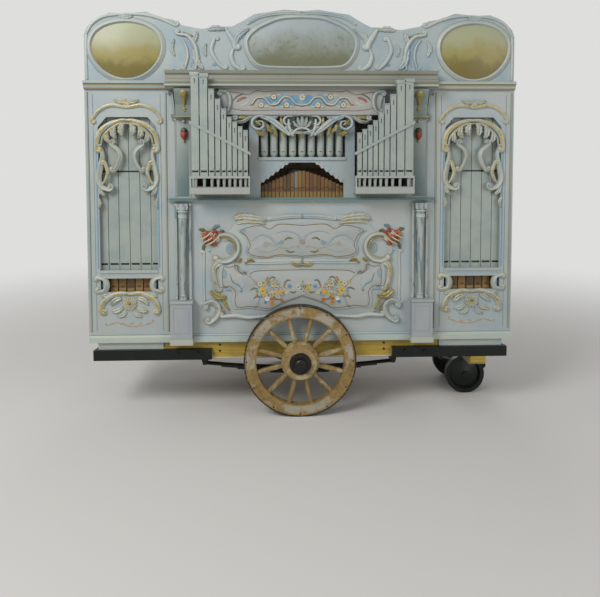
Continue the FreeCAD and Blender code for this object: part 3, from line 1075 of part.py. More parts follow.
def middle_pipes():
    """The round pipes on the niche rail, and the brown flutes behind the fretted arch."""
    count = int(val("round_count"))
    foot_z = "(niche_rail + rail_high)"
    y = f"(-{FRONT} + 22)"
    pitch = f"(2*niche_half/{count} - 2)"
    pipes = []
    for k in range(count):
        x = f"({pitch}*{k - (count - 1) / 2})"
        pipes.append(fuse(prism(12, "Z", "round_dia - 10", x, y, foot_z, "18"),
                          prism(12, "Z", "round_dia", x, y, f"{foot_z} + 18",
                                f"name_bottom - 12 - {foot_z} - 18")))
    node("round_pipes", group(*pipes))

    count = int(val("flute_count"))
    y0 = f"(-{BACK} + 5)"
    flutes = []
    for k in range(count):
        off = k - (count - 1) / 2
        share = 1 - (abs(off) / (count / 2)) ** 1.6
        x = f"(2*(niche_half - 10)/{count}*{off})"
        wide = f"(2*(niche_half - 10)/{count} - 1.5)"
        top = f"(niche_rail - 185 + 160*{share:.4f})"
        flutes.append(box(f"{x} - {wide}/2", f"{x} + {wide}/2", y0, f"{y0} + flute_depth", SHELF, top))
    wing_y = f"(-{FRONT} + wing_thick + 12)"
    for s in (-1, 1):
        for k in range(7):
            x = f"({s}*{WING_X} + {k - 3}*wing_flute_pitch)"
            flutes.append(box(f"{x} - wing_flute_pitch/2 + 2", f"{x} + wing_flute_pitch/2 - 2", wing_y,
                              f"{wing_y} + 40", "flute_sill - 8", "flute_head"))
    node("brown_flute_pipes", group(*flutes))


def frieze():
    """Name board, cornice and the consoles under its ends."""
    f = FRONT
    outline = [(f"-{f}", "name_bottom - 8"), ("-name_reach - 8", "name_bottom - 8"),
               ("-name_reach - 8", "name_bottom + 8"), ("-name_reach", "name_bottom + 12"),
               ("-name_reach", "name_bottom + name_high - 12"),
               ("-name_reach - 6", "cornice_bottom"), (f"-{f}", "cornice_bottom")]
    node("name_board", moulding("-name_half", "name_half", outline))

    z, high, reach = "cornice_bottom", "cornice_high", "cornice_reach"
    steps = ((6, 12), (0, 14), (0, 26), (14, 30), (26, 44), (30, 60), (42, 64), (46, 92), (38, 104))
    outline = [(f"-{BACK}", z), (f"-{f} - 55", z), *((f"-{reach} + {a}", f"{z} + {b}") for a, b in steps),
               (f"-{reach} + 34", f"{z} + {high}"), (f"-{BACK}", f"{z} + {high}")]
    node("main_cornice", moulding("-case_half - 10", "case_half + 10", outline))

    x0, x1 = "console_x - console_wide/2", "console_x + console_wide/2"
    top = "cornice_bottom"
    bracket = moulding(x0, x1, [(f"-{f}", top), (f"-{f} - 84", top), (f"-{f} - 84", f"{top} - 18"),
                                (f"-{f} - 62", f"{top} - 60"), (f"-{f} - 40", f"{top} - 110"),
                                (f"-{f} - 34", "console_bottom"), (f"-{f}", "console_bottom")])
    shelf = moulding(f"{x0} - 8", f"{x1} + 8",
                     [(f"-{f}", "console_bottom"), (f"-{f} - 46", "console_bottom"),
                      (f"-{f} - 46", "console_bottom - 10"), (f"-{f} - 20", "console_bottom - 18"),
                      (f"-{f}", "console_bottom - 18")])
    node("consoles", pair(group(bracket, shelf), x=1))


CREST = ((0, 0.1, 0), (1.0, 0.1, 0), (0.96, -0.16, 0.2), (0.80, -0.42, 0.25), (0.62, -0.52, -0.1),
         (0.50, -0.40, 0.2), (0.30, -0.62, -0.1), (0.20, -0.86, 0.2), (0, -1.0, 0))
SHELL = ((0, 1.0, 0.2), (0.6, 0.65, 0.2), (1.0, -0.1, 0.1), (0.86, -1.0, 0.1), (0.62, -0.4, -0.3),
         (0, 0.1, 0))
APRON = ((0, 0.6, 0.1), (0.5, 0.9, 0.2), (1.0, 0.5, 0.2), (0.8, -0.2, 0.2), (0.4, -0.5, 0.2), (0, -1.0, 0))


def carvings():
    """The main forms of the carved scrolls: the crest under the name board and those on the wings."""
    deep = 26.0
    drop = val("crest_drop") / 1.1
    crest = raised(CREST, (0, val("name_bottom") - 8 - 0.1 * drop), val("crest_half"), drop,
                   14 - val("name_reach"), deep)
    face = -val(FRONT)
    wing_x = val(WING_X)
    half = val("wing_window") / 2
    head, low = val("wing_head"), val("flute_head")
    shell = raised(SHELL, (wing_x, head), half + 16, val("shell_high"), face, deep)
    apron = raised(APRON, (wing_x, val("flute_sill - apron_drop")), half - 10, val("apron_high"), face, deep)
    scrolls = [half_round((wing_x + half - 42, head - 160), 110, 26, -150, 240, face),
               half_round((wing_x + half - 22, head - 290), 84, 24, -110, 235, face),
               half_round((wing_x + half + 8, low - 72), 96, 24, 80, 250, face)]
    wing = with_images([shell, apron] + with_images(scrolls, wing_x))
    node("carved_scrolls", solid(Part.makeCompound([crest] + wing)))


def wings():
    """The side wings with their windows, cornices and tall pipes."""
    y0, y1 = f"-{FRONT}", f"-{FRONT} + wing_thick"
    inner, outer, middle = WING_IN, "wing_outer", WING_X
    half = "wing_window/2"
    top = "wing_cornice"
    rim = [(inner, "wing_base"), (outer, "wing_base"), (outer, top), (inner, top)]
    left, right = f"{middle} - {half}", f"{middle} + {half}"
    window = [(left, "wing_sill"), (right, "wing_sill"), (right, "wing_head - 60"),
              (f"{right} - 60", "wing_head + 10"), (f"{left} + 60", "wing_head + 10"),
              (left, "wing_head - 60")]
    slot = [(left, "flute_sill"), (right, "flute_sill"), (right, "flute_head"), (left, "flute_head")]
    panel = fretted(y0, y1, rim, window, slot)
    base = moulding(inner, outer, [(f"-{FRONT}", "wing_base"), (f"-{FRONT} - 12", "wing_base"),
                                   (f"-{FRONT} - 12", "wing_base + 38"), (f"-{FRONT}", "wing_base + 50")])
    high = "wing_cornice_high"
    cornice = moulding(f"{inner} + 10", outer,
                       [(y1, top), (f"{y0} - 14", top), (f"{y0} - 20", f"{top} + 8"),
                        (f"{y0} - 28", f"{top} + 34"), (f"{y0} - 38", f"{top} + 40"),
                        (f"{y0} - 38", f"{top} + 52"), (f"{y0} - 26", f"{top} + {high}"),
                        (y1, f"{top} + {high}")])
    rails = [box(left, right, f"{y0} - 8", y0, z, f"{z} + 18") for z in ("flute_head + 2", "wing_sill - 18")]
    node("wing_panels", pair(group(panel, base, cornice, *rails), x=1))

    pipes = []
    y0 = f"(-{FRONT} + wing_thick + 10)"
    for s in (-1, 1):
        for k in range(6):
            x = f"({s}*{middle} + wing_pipe_pitch*{k - 2.5})"
            left, right = f"{x} - wing_pipe_pitch/2", f"{x} + wing_pipe_pitch/2"
            body = box(f"{left} + 2", f"{right} - 2", y0, f"{y0} + 60", "flute_head + board",
                       f"wing_head + 30 + {24 - 8 * abs(k - 2.5)}")
            mouth = box(f"{left} + 9", f"{right} - 9", f"{y0} - 1", f"{y0} + 14", "wing_sill + 34",
                        "wing_sill + 48")
            pipes.append(cut(body, mouth))
    node("wing_pipes", group(*pipes))


ATTIC = ((0, 1.0, 0.06), (0.16, 0.96, 0.10), (0.27, 0.72, -0.12), (0.38, 0.55, -0.08), (0.55, 0.58, 0.1),
         (0.64, 0.78, 0.12), (0.80, 0.90, 0.14), (0.96, 0.66, 0.12), (1.0, 0.30, 0), (1.0, -1.0, 0),
         (0, -1.0, 0))


def attic():
    """The shaped board over the cornice, and the carved frames of its painted fields."""
    bottom = val("wing_cornice + wing_cornice_high")
    top = val("attic_top")
    half = val("wing_outer")
    mid, high = (bottom + top) / 2, (top - bottom) / 2
    face = -val(BACK) - 2
    thick = val("attic_thick")
    plate = raised(ATTIC, (0, mid), half, high, face, thick)
    well = Part.makeBox(2 * val("case_half") + 21, 3 * thick, val(CORNICE_TOP) - bottom,
                        FreeCAD.Vector(-val("case_half") - 10.5, face - 2 * thick, bottom))
    plate = plate.cut(well)
    node("attic_board", solid(plate))

    front = face - thick
    wide = val("frame_wide")
    thick = 0.8 * wide
    pic_half, pic_high = val("picture_half"), val("picture_high") / 2
    oval_half, oval_high = val("portrait_half"), val("portrait_high") / 2
    picture = raised(PICTURE, (0, val("picture_bottom") + pic_high), pic_half + wide, pic_high + wide, front,
                     thick, wide)
    oval = raised(OVAL, (val(WING_X), bottom + wide + oval_high), oval_half + wide, oval_high + wide - 4,
                  front, thick, wide)
    ear = half_round((0.85 * val("case_half"), val(CORNICE_TOP) + 150), 200, 26, -160, 200, front)
    node("attic_frames", solid(Part.makeCompound([picture] + with_images([oval, ear]))))


# ---- build, check and write ----------------------------------------------------------------

def build():
    chassis()
    axle()
    springs()
    truck()
    road_wheel("front_wheel", -1)
    road_wheel("rear_wheel", 1)
    case()
    doors()
    flywheel()
    crankshaft()
    bellows()
    key_frame()
    lower_front()
    cartouche()
    upper_front()
    front_pipes()
    middle_pipes()
    frieze()
    carvings()
    wings()
    attic()
    doc.recompute()


def check():
    """Stop if an object failed or a sub-part's shape isn't sound."""
    faults = [obj.Label for obj in doc.Objects if {"Invalid", "Error"} & set(obj.State)]
    for name, obj in NODES.items():
        shape = obj.Shape
        if shape.isNull() or not shape.isValid() or not shape.Solids:
            faults.append(name)
    if faults:
        raise RuntimeError("not sound: " + ", ".join(faults))


def write():
    os.makedirs("parts", exist_ok=True)
    for name, obj in NODES.items():
        obj.Shape.exportStep(os.path.join("parts", name + ".step"))
    print(len(NODES), "sub-parts written")


build()
check()
write()
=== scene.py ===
"""Looks of a street barrel organ on its sprung cart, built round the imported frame.

Lengths are in millimetres in the classes below and become metres where a mesh is made. X runs to the
right along the carved front, Y runs back from it and Z is up.
"""

from __future__ import annotations

import logging
import math
from collections.abc import Callable
from dataclasses import dataclass, field
from enum import Enum

import bpy
import numpy as np
from mathutils import Matrix, Vector

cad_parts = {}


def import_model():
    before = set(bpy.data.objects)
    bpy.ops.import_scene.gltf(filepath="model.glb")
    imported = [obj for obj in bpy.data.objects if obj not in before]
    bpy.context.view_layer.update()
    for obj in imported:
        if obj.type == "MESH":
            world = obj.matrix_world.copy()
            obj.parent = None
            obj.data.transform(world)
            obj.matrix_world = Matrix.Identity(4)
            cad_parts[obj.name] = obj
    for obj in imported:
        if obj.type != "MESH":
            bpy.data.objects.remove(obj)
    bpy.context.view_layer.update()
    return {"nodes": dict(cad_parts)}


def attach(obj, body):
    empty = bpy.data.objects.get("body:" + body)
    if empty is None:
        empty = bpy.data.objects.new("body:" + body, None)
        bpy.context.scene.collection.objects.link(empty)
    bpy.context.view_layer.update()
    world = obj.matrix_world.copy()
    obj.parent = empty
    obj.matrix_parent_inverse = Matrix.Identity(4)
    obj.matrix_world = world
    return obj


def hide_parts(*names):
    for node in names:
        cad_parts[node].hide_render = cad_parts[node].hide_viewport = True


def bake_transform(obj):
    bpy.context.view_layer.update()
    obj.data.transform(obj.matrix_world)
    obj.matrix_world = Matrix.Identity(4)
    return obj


Array = np.ndarray
Colour = tuple[float, float, float, float]
Point = tuple[float, float]
Run = list[Point] | tuple[Point, ...] | Array
Sides = tuple[float, float, float, float]

# A millimetre in metres, the Y of four faces of the front, the X of a wing's middle (on either side)
# and the big wheels' middle as (x, z).
MM = 0.001
FRONT = -490.0
PLATE_FACE = -512.4
NAME_FACE = -540.0
ATTIC_FACE = -474.0
WING_X = 1238.75
HUB = (-20.0, 400.0)
LOG = logging.getLogger("organ")


def rgb(red: float, green: float, blue: float) -> Colour:
    """Turn a colour as it looks on a screen into the linear light that shaders mix.

    Args:
        red: Red from 0 to 255.
        green: Green from 0 to 255.
        blue: Blue from 0 to 255.

    Returns:
        Linear red, green, blue and an alpha of 1.
    """
    shares = np.array([red, green, blue]) / 255.0
    linear = np.where(shares <= 0.04045, shares / 12.92, ((shares + 0.055) / 1.055) ** 2.4)
    return (float(linear[0]), float(linear[1]), float(linear[2]), 1.0)


# ---- shader building ----


def operator(operation: str, turned: bool = False) -> Callable[[Value, Value | float], Value]:
    """Give the method that adds one Math node to a value's net.

    Args:
        operation: The node's operation.
        turned: Whether the other value comes first.

    Returns:
        The method.
    """
    def method(self: Value, other: Value | float) -> Value:
        """Add the node."""
        return self.net.math(operation, other, self) if turned else self.net.math(operation, self, other)

    return method


class Value:
    """A shader socket that takes part in sums: each operator adds one Math node."""

    __add__, __radd__ = operator("ADD"), operator("ADD", True)
    __sub__, __rsub__ = operator("SUBTRACT"), operator("SUBTRACT", True)
    __mul__, __rmul__ = operator("MULTIPLY"), operator("MULTIPLY", True)
    __pow__ = operator("POWER")

    def __init__(self, net: Net, socket: bpy.types.NodeSocket) -> None:
        """Hold a socket of a net."""
        self.net = net
        self.socket = socket

    def rises(self, low: float, high: float) -> Value:
        """Go smoothly from 0 at the low value to 1 at the high one."""
        return self.net.add("ShaderNodeMapRange", {"interpolation_type": "SMOOTHSTEP"},
                            {"Value": self, "From Min": low, "From Max": high})

    def within(self, low: float, high: float, soft: float) -> Value:
        """Be 1 between two values and 0 outside them, with soft ends."""
        return self.rises(low - soft, low + soft) * (1.0 - self.rises(high - soft, high + soft))


class Net:
    """The nodes of one material or world, added through one method and a few shorthands."""

    def __init__(self, name: str, world: bool = False) -> None:
        """Start an empty material or world.

        Args:
            name: Its name.
            world: Whether it is a world.
        """
        self.owner = (bpy.data.worlds if world else bpy.data.materials).new(name)
        self.owner.use_nodes = True
        self.tree = self.owner.node_tree
        self.tree.nodes.clear()

    def feed(self, socket: bpy.types.NodeSocket, value: Value | float | tuple) -> None:
        """Link a value to an input, or set the input to it.

        Args:
            socket: The input.
            value: A value of the net, or a plain number or colour.
        """
        if isinstance(value, Value):
            self.tree.links.new(value.socket, socket)
        else:
            socket.default_value = value

    def add(self, kind: str, settings: dict | None = None, inputs: dict | None = None,
            out: int | str = 0) -> Value:
        """Add a node.

        Args:
            kind: The node's type.
            settings: Properties that are set before the inputs.
            inputs: Values by input name or number.
            out: The output to hand back.

        Returns:
            That output as a value, which has no socket where the node has no output.
        """
        node = self.tree.nodes.new(kind)
        for name, value in (settings or {}).items():
            setattr(node, name, value)
        for name, value in (inputs or {}).items():
            self.feed(node.inputs[name], value)
        return Value(self, node.outputs[out] if len(node.outputs) else None)

    def math(self, operation: str, first: Value | float, second: Value | float) -> Value:
        """Add a Math node."""
        return self.add("ShaderNodeMath", {"operation": operation}, {0: first, 1: second})

    def mix(self, first: Value | Colour, second: Value | Colour, share: Value | float) -> Value:
        """Blend two colours by a share of the second."""
        return self.add("ShaderNodeMix", {"data_type": "RGBA"}, {0: share, 6: first, 7: second}, 2)

    def place(self) -> Value:
        """Give the point on the piece, in metres."""
        return self.add("ShaderNodeTexCoord", out="Object")

    def scaled(self, point: Value, x: float, y: float, z: float) -> Value:
        """Stretch a point's coordinates."""
        return self.add("ShaderNodeVectorMath", {"operation": "MULTIPLY"}, {0: point, 1: (x, y, z)})

    def split(self, point: Value, axis: str) -> Value:
        """Give one coordinate of a point."""
        return self.add("ShaderNodeSeparateXYZ", None, {0: point}, axis)

    def noise(self, point: Value, scale: float, detail: float = 3.0, rough: float = 0.5,
              bend: float = 0.0) -> Value:
        """Give cloudy noise from 0 to 1 at a scale in clouds per metre."""
        inputs = {"Vector": point, "Scale": scale, "Detail": detail, "Roughness": rough, "Distortion": bend}
        return self.add("ShaderNodeTexNoise", None, inputs)

    def attribute(self, name: str, out: str = "Fac") -> Value:
        """Read a value that the mesh carries at its points."""
        return self.add("ShaderNodeAttribute", {"attribute_name": name}, None, out)

    def surface(self, colour: Value | Colour, rough: Value | float, metal: Value | float, height: Value,
                depth: float, coat: float = 0.0, sheen: float = 0.0) -> bpy.types.Material:
        """Close the material with one surface shader.

        Args:
            colour: Base colour.
            rough: Roughness.
            metal: Metallic share.
            height: Height pattern from 0 to 1 for the bump.
            depth: How deep the bump is, in metres.
            coat: Weight of the clear coat.
            sheen: Weight of the sheen.

        Returns:
            The finished material.
        """
        bump = self.add("ShaderNodeBump", None, {"Strength": 0.6, "Distance": depth, "Height": height})
        shader = self.add("ShaderNodeBsdfPrincipled", None, {
            "Base Color": colour, "Roughness": rough, "Metallic": metal, "Coat Weight": coat,
            "Coat Roughness": 0.25, "Sheen Weight": sheen, "Normal": bump})
        self.add("ShaderNodeOutputMaterial", None, {"Surface": shader})
        return self.owner


# ---- finishes ----


class Axis(Enum):
    """The three directions of the organ."""

    X = "X"
    Y = "Y"
    Z = "Z"


@dataclass(frozen=True)
class Band:
    """A painted strip between two heights, and behind a depth if it has one, in metres."""

    low: float
    high: float
    colour: Colour
    soft: float = 0.0015
    behind: float | None = None


@dataclass(frozen=True)
class Finish:
    """A named surface finish."""

    name: str

    def make(self) -> bpy.types.Material:
        """Build the material's nodes.

        Returns:
            The material.
        """
        raise NotImplementedError

    def material(self) -> bpy.types.Material:
        """Give the material, built once."""
        return bpy.data.materials.get(self.name) or self.make()


@dataclass(frozen=True)
class PaintedWood(Finish):
    """Brushed oil paint on boards: soft clouds of tint, faint streaks, dust and small chips."""

    base: Colour
    tint: Colour
    dust: Colour = rgb(138, 137, 119)
    bands: tuple[Band, ...] = ()
    cloud: float = 2.6
    rough: float = 0.42
    coat: float = 0.12

    def tone(self, net: Net, point: Value) -> Value:
        """Mix the paint's colour over the surface.

        Args:
            net: The material's net.
            point: The point on the piece.

        Returns:
            The colour.
        """
        clouds = net.noise(point, self.cloud, 3.0, 0.55, 0.4)
        colour = net.mix(self.base, self.tint, clouds.rises(0.38, 0.72))
        streaks = net.noise(net.scaled(point, 46.0, 46.0, 3.0), 1.0, 4.0, 0.6)
        colour = net.mix(colour, self.dust, streaks.rises(0.55, 0.86) * 0.22)
        for band in self.bands:
            share = net.split(point, "Z").within(band.low, band.high, band.soft)
            if band.behind is not None:
                share = share * net.split(point, "Y").rises(band.behind, band.behind + 0.001)
            colour = net.mix(colour, band.colour, share)
        grime = net.noise(point, 17.0, 5.0, 0.65)
        colour = net.mix(colour, self.dust, grime.rises(0.56, 0.9) * 0.45)
        chips = net.noise(point, 88.0, 2.0, 0.5)
        return net.mix(colour, rgb(118, 104, 84), chips.rises(0.735, 0.76) * 0.7)

    def make(self) -> bpy.types.Material:
        """Build the material's nodes.

        Returns:
            The material.
        """
        net = Net(self.name)
        point = net.place()
        brush = net.noise(net.scaled(point, 60.0, 60.0, 9.0), 3.0, 4.0, 0.6)
        rough = self.rough + 0.22 * net.noise(point, 12.0, 3.0)
        return net.surface(self.tone(net, point), rough, 0.0, brush, 0.0007, self.coat)


@dataclass(frozen=True)
class Carving(PaintedWood):
    """Carved wood, painted pale, with worn ochre gold on its crests and shadow in its hollows."""

    gold: Colour = rgb(172, 154, 88)
    hollow: Colour = rgb(126, 127, 108)
    cover: float = 0.4

    def make(self) -> bpy.types.Material:
        """Build the material's nodes.

        Returns:
            The material.
        """
        net = Net(self.name)
        point = net.place()
        crest = net.attribute("crest")
        colour = self.tone(net, point)
        colour = net.mix(self.hollow, colour, crest.rises(0.02, 0.34))
        wear = net.noise(point, 22.0, 4.0, 0.6)
        edge = 1.0 - self.cover
        gilt = (crest + (wear - 0.5) * 0.5).rises(edge + 0.22, edge + 0.42)
        gold = net.mix(self.gold, rgb(124, 104, 46), net.noise(point, 60.0, 3.0).rises(0.45, 0.75))
        colour = net.mix(colour, gold, gilt)
        grain = net.noise(point, 130.0, 3.0, 0.6)
        return net.surface(colour, 0.5 - 0.14 * gilt, gilt * 0.25, grain, 0.0006, 0.1)


@dataclass(frozen=True)
class Marbled(Finish):
    """Painted marbling: pale ground with blue-grey veins that run down the piece."""

    base: Colour
    vein: Colour
    deep: Colour
    spread: float = 0.5

    def make(self) -> bpy.types.Material:
        """Build the material's nodes.

        Returns:
            The material.
        """
        net = Net(self.name)
        point = net.place()
        flow = net.noise(net.scaled(point, 34.0, 20.0, 4.2), 1.0, 5.0, 0.62, 1.2)
        fine = net.noise(net.scaled(point, 90.0, 40.0, 11.0), 1.0, 4.0, 0.6, 0.8)
        colour = net.mix(self.base, self.vein, flow.rises(self.spread, self.spread + 0.12))
        core = flow.within(self.spread + 0.07, self.spread + 0.1, 0.02)
        colour = net.mix(colour, self.deep, core * 0.8)
        colour = net.mix(colour, self.deep, fine.rises(0.64, 0.72) * 0.45)
        rough = 0.3 + 0.2 * net.noise(point, 20.0)
        return net.surface(colour, rough, 0.0, fine, 0.0004, 0.3)


@dataclass(frozen=True)
class GrainedWood(Finish):
    """Wood whose grain runs along one axis, with growth lines, pores, dirt and worn paint.

    The worn paint may lie in a ring round the hub, and a roof may turn its grain to X.
    """

    light: Colour
    dark: Colour
    along: Axis
    rough: float = 0.5
    coat: float = 0.0
    worn: Colour | None = None
    share: float = 0.5
    blotch: float = 11.0
    ring: tuple[float, float] | None = None
    roof: float | None = None

    def make(self) -> bpy.types.Material:
        """Build the material's nodes.

        Returns:
            The material.
        """
        net = Net(self.name)
        point = net.place()
        lines = self.streaks(net, point, 1.0, 4.0, 0.6, 0.6)
        broad = self.streaks(net, point, 0.22, 2.0, 0.5, 0.5)
        growth = lines.rises(0.35, 0.72) * 0.6 + broad.rises(0.4, 0.75) * 0.4
        colour = net.mix(self.light, self.dark, growth)
        pores = self.streaks(net, point, 5.0, 2.0)
        colour = net.mix(colour, rgb(60, 42, 26), pores.rises(0.64, 0.78) * 0.35)
        if self.worn is not None:
            patch = net.noise(point, self.blotch, 5.0, 0.72, 0.3)
            patch = patch.rises(self.share, self.share + 0.1)
            if self.ring is not None:
                across, up = net.split(point, "X") - MM * HUB[0], net.split(point, "Z") - MM * HUB[1]
                patch = patch * ((across * across + up * up) ** 0.5).within(*self.ring, 0.007)
            colour = net.mix(colour, self.worn, patch * 0.85)
        dirt = net.noise(point, 9.0, 4.0, 0.6).rises(0.55, 0.85)
        colour = net.mix(colour, rgb(70, 58, 42), dirt * 0.4)
        return net.surface(colour, self.rough + 0.2 * dirt, 0.0, lines, 0.0008, self.coat)

    def streaks(self, net: Net, point: Value, fine: float, *look: float) -> Value:
        """Give noise drawn out along the grain, which turns to X from the roof's height upwards.

        Args:
            net: The nodes it is added to.
            point: The place.
            fine: How fine the streaks are.
            look: The noise's detail, roughness and distortion.

        Returns:
            The noise.
        """
        def drawn(axis: int) -> Value:
            """Give the noise drawn out along one axis."""
            stretch = [fine * (4.0 if k == axis else 70.0) for k in range(3)]
            return net.noise(net.scaled(point, *stretch), 1.0, *look)

        noise = drawn("XYZ".index(self.along.value))
        if self.roof is None:
            return noise
        above = net.split(point, "Z").rises(self.roof - 0.001, self.roof)
        return noise * (1.0 - above) + drawn(0) * above


@dataclass(frozen=True)
class Iron(Finish):
    """Forged or cast iron, painted or bare, with rubbed bright spots, grease and rust."""

    base: Colour
    bright: Colour
    metal: float = 0.6
    rough: float = 0.45
    rust: float = 0.3
    wear: float = 0.66

    def make(self) -> bpy.types.Material:
        """Build the material's nodes.

        Returns:
            The material.
        """
        net = Net(self.name)
        point = net.place()
        grease = net.noise(point, 14.0, 5.0, 0.6)
        rubbed = net.noise(net.scaled(point, 30.0, 60.0, 60.0), 1.0, 5.0, 0.7)
        rubbed = rubbed.rises(self.wear, self.wear + 0.08)
        colour = net.mix(self.base, self.bright, rubbed * 0.7)
        colour = net.mix(colour, rgb(104, 62, 34), grease.rises(0.58, 0.8) * self.rust)
        pits = net.noise(point, 170.0, 3.0)
        rough = self.rough + 0.3 * grease.rises(0.4, 0.8) - 0.15 * rubbed
        return net.surface(colour, rough, self.metal, pits, 0.0005)


@dataclass(frozen=True)
class Hide(Finish):
    """Supple leather on bellows or a belt: creases, pores and a dull sheen."""

    base: Colour
    dark: Colour

    def make(self) -> bpy.types.Material:
        """Build the material's nodes.

        Returns:
            The material.
        """
        net = Net(self.name)
        point = net.place()
        crease = net.add("ShaderNodeTexVoronoi", {"feature": "DISTANCE_TO_EDGE"},
                         {"Vector": point, "Scale": 130.0}, 0)
        colour = net.mix(self.base, self.dark, net.noise(point, 8.0, 4.0).rises(0.35, 0.8))
        colour = net.mix(self.dark, colour, crease.rises(0.0, 0.12))
        rough = 0.55 + 0.2 * net.noise(point, 30.0)
        return net.surface(colour, rough, 0.0, crease.rises(0.0, 0.2), 0.0006, 0.0, 0.2)


@dataclass(frozen=True)
class Brushwork(Finish):
    """Hand-painted ornament: each part's own colour, with brush streaks, worn spots and painted shade along its low
    edges.
    """

    rough: float = 0.45
    vary: float = 0.35

    def make(self) -> bpy.types.Material:
        """Build the material's nodes.

        Returns:
            The material.
        """
        net = Net(self.name)
        point = net.place()
        own = net.attribute("tint", "Color")
        strokes = net.noise(net.scaled(point, 160.0, 160.0, 60.0), 1.0, 3.0, 0.6)
        colour = net.mix(own, rgb(195, 192, 165), strokes.rises(0.5, 0.8) * self.vary)
        worn = net.noise(point, 60.0, 3.0).rises(0.56, 0.8)
        colour = net.mix(colour, rgb(74, 52, 38), worn * self.vary)
        # Painted shade: the colour darkens towards the low edges of each part, where its crest value falls to 0.
        crest = net.attribute("crest")
        colour = net.mix(net.mix(colour, rgb(58, 42, 34), 0.45), colour, crest.rises(0.0, 0.35))
        return net.surface(colour, self.rough + 0.2 * strokes, 0.0, strokes, 0.0004, 0.15)


@dataclass(frozen=True)
class PaintedField(Finish):
    """A misty painted ground: a pale sky that turns into soft green and brown foliage below."""

    sky: Colour
    middle: Colour
    ground: Colour
    low: float
    high: float
    strength: float = 0.5

    def make(self) -> bpy.types.Material:
        """Build the material's nodes.

        Returns:
            The material.
        """
        net = Net(self.name)
        point = net.place()
        height = net.split(point, "Z")
        drift = net.noise(point, 5.0, 5.0, 0.62, 0.7)
        level = (height + (drift - 0.5) * 0.22).rises(self.low, self.high)
        colour = net.mix(self.ground, self.middle, level.rises(0.08, 0.45))
        colour = net.mix(colour, self.sky, level.rises(0.42, 0.95))
        leaves = net.noise(point, 34.0, 5.0, 0.7, 0.5)
        shade = leaves.rises(0.5, 0.74) * (1.0 - level.rises(0.35, 1.0)) * self.strength
        colour = net.mix(colour, rgb(88, 92, 74), shade)
        colour = net.mix(colour, rgb(180, 183, 162), leaves.rises(0.62, 0.86) * 0.35)
        canvas = net.noise(point, 240.0, 2.0)
        return net.surface(colour, 0.45 + 0.2 * drift, 0.0, canvas, 0.0003, 0.2)


WHITE = rgb(166, 173, 167)
COOL = rgb(148, 164, 168)
GOLD = rgb(168, 149, 80)
LINE = rgb(92, 76, 68)
BLUE = rgb(104, 142, 166)
TEAL = rgb(103, 132, 132)
RED = rgb(148, 58, 36)
ORANGE = rgb(166, 96, 52)
YELLOW = rgb(184, 163, 78)
CREAM = rgb(180, 181, 157)
PINK = rgb(158, 155, 150)
LEAF_GREEN = rgb(92, 100, 72)
BACKDROP = rgb(222, 222, 220)

CASE_PAINT = PaintedWood("case_paint_white", WHITE, COOL)
WING_PAINT = PaintedWood("wing_paint", rgb(160, 167, 164), rgb(146, 160, 167), bands=(
    Band(0.510, 0.566, rgb(168, 176, 165)), Band(0.5665, 0.5705, rgb(104, 124, 124)),
    Band(2.324, 2.334, rgb(146, 134, 108)), Band(2.348, 2.364, rgb(140, 138, 98))))
# Its top band, on the ledge below the pipe chests, is teal paint darkened with painted shade.
LOWER_PAINT = PaintedWood("lower_panel_paint", rgb(166, 171, 168), rgb(152, 165, 168), bands=(
    Band(0.515, 0.558, rgb(166, 178, 172)), Band(0.5585, 0.5625, rgb(98, 122, 126)),
    Band(0.5715, 0.5755, rgb(118, 144, 152)), Band(1.5405, 1.556, rgb(78, 114, 110))))
UPPER_PAINT = PaintedWood("upper_front_paint", rgb(160, 167, 165), rgb(142, 158, 165), cloud=3.4)
PEDESTAL_PAINT = PaintedWood("pedestal_paint", rgb(154, 158, 157), rgb(145, 152, 157), bands=(
    Band(0.515, 0.557, rgb(166, 170, 157)),))
NAME_PAINT = PaintedWood("name_board_paint", PINK, rgb(148, 156, 159))
# The cornice's grey base is the front's pale paint darkened with painted shade from its overhang.
CORNICE_PAINT = PaintedWood("cornice_paint", rgb(129, 132, 123), rgb(120, 124, 116), bands=(
    Band(2.323, 2.331, rgb(160, 164, 155)), Band(2.3345, 2.350, rgb(160, 164, 155)),
    Band(2.351, 2.372, rgb(112, 114, 88)), Band(2.388, 2.3925, rgb(122, 106, 88)),
    Band(2.4195, 2.429, rgb(117, 114, 86))))
CONSOLE_PAINT = PaintedWood("console_paint", rgb(126, 137, 129), rgb(114, 128, 124), bands=(
    Band(2.117, 2.131, rgb(146, 143, 101)),))
ATTIC_PAINT = PaintedWood("attic_paint", rgb(157, 167, 166), rgb(139, 157, 164), cloud=4.2)
PLATE_PAINT = PaintedWood("plate_paint", rgb(161, 163, 159), rgb(151, 158, 160), cloud=4.0)
GROUND_PAINT = PaintedWood("cartouche_ground_paint", rgb(160, 166, 162), rgb(148, 158, 160), cloud=3.6)
# The two near-black bands are painted shade inside the mouths of the square front pipes and of the wing pipes, on every
# face set back from the pipes' fronts.
PIPE_PAINT = PaintedWood("pipe_paint", rgb(150, 158, 150), rgb(138, 149, 145), cloud=8.0, rough=0.36, bands=(
    Band(1.7395, 1.7525, rgb(34, 32, 30), 0.0008, -0.6394),
    Band(1.0715, 1.0865, rgb(34, 32, 30), 0.0008, -0.4544)))
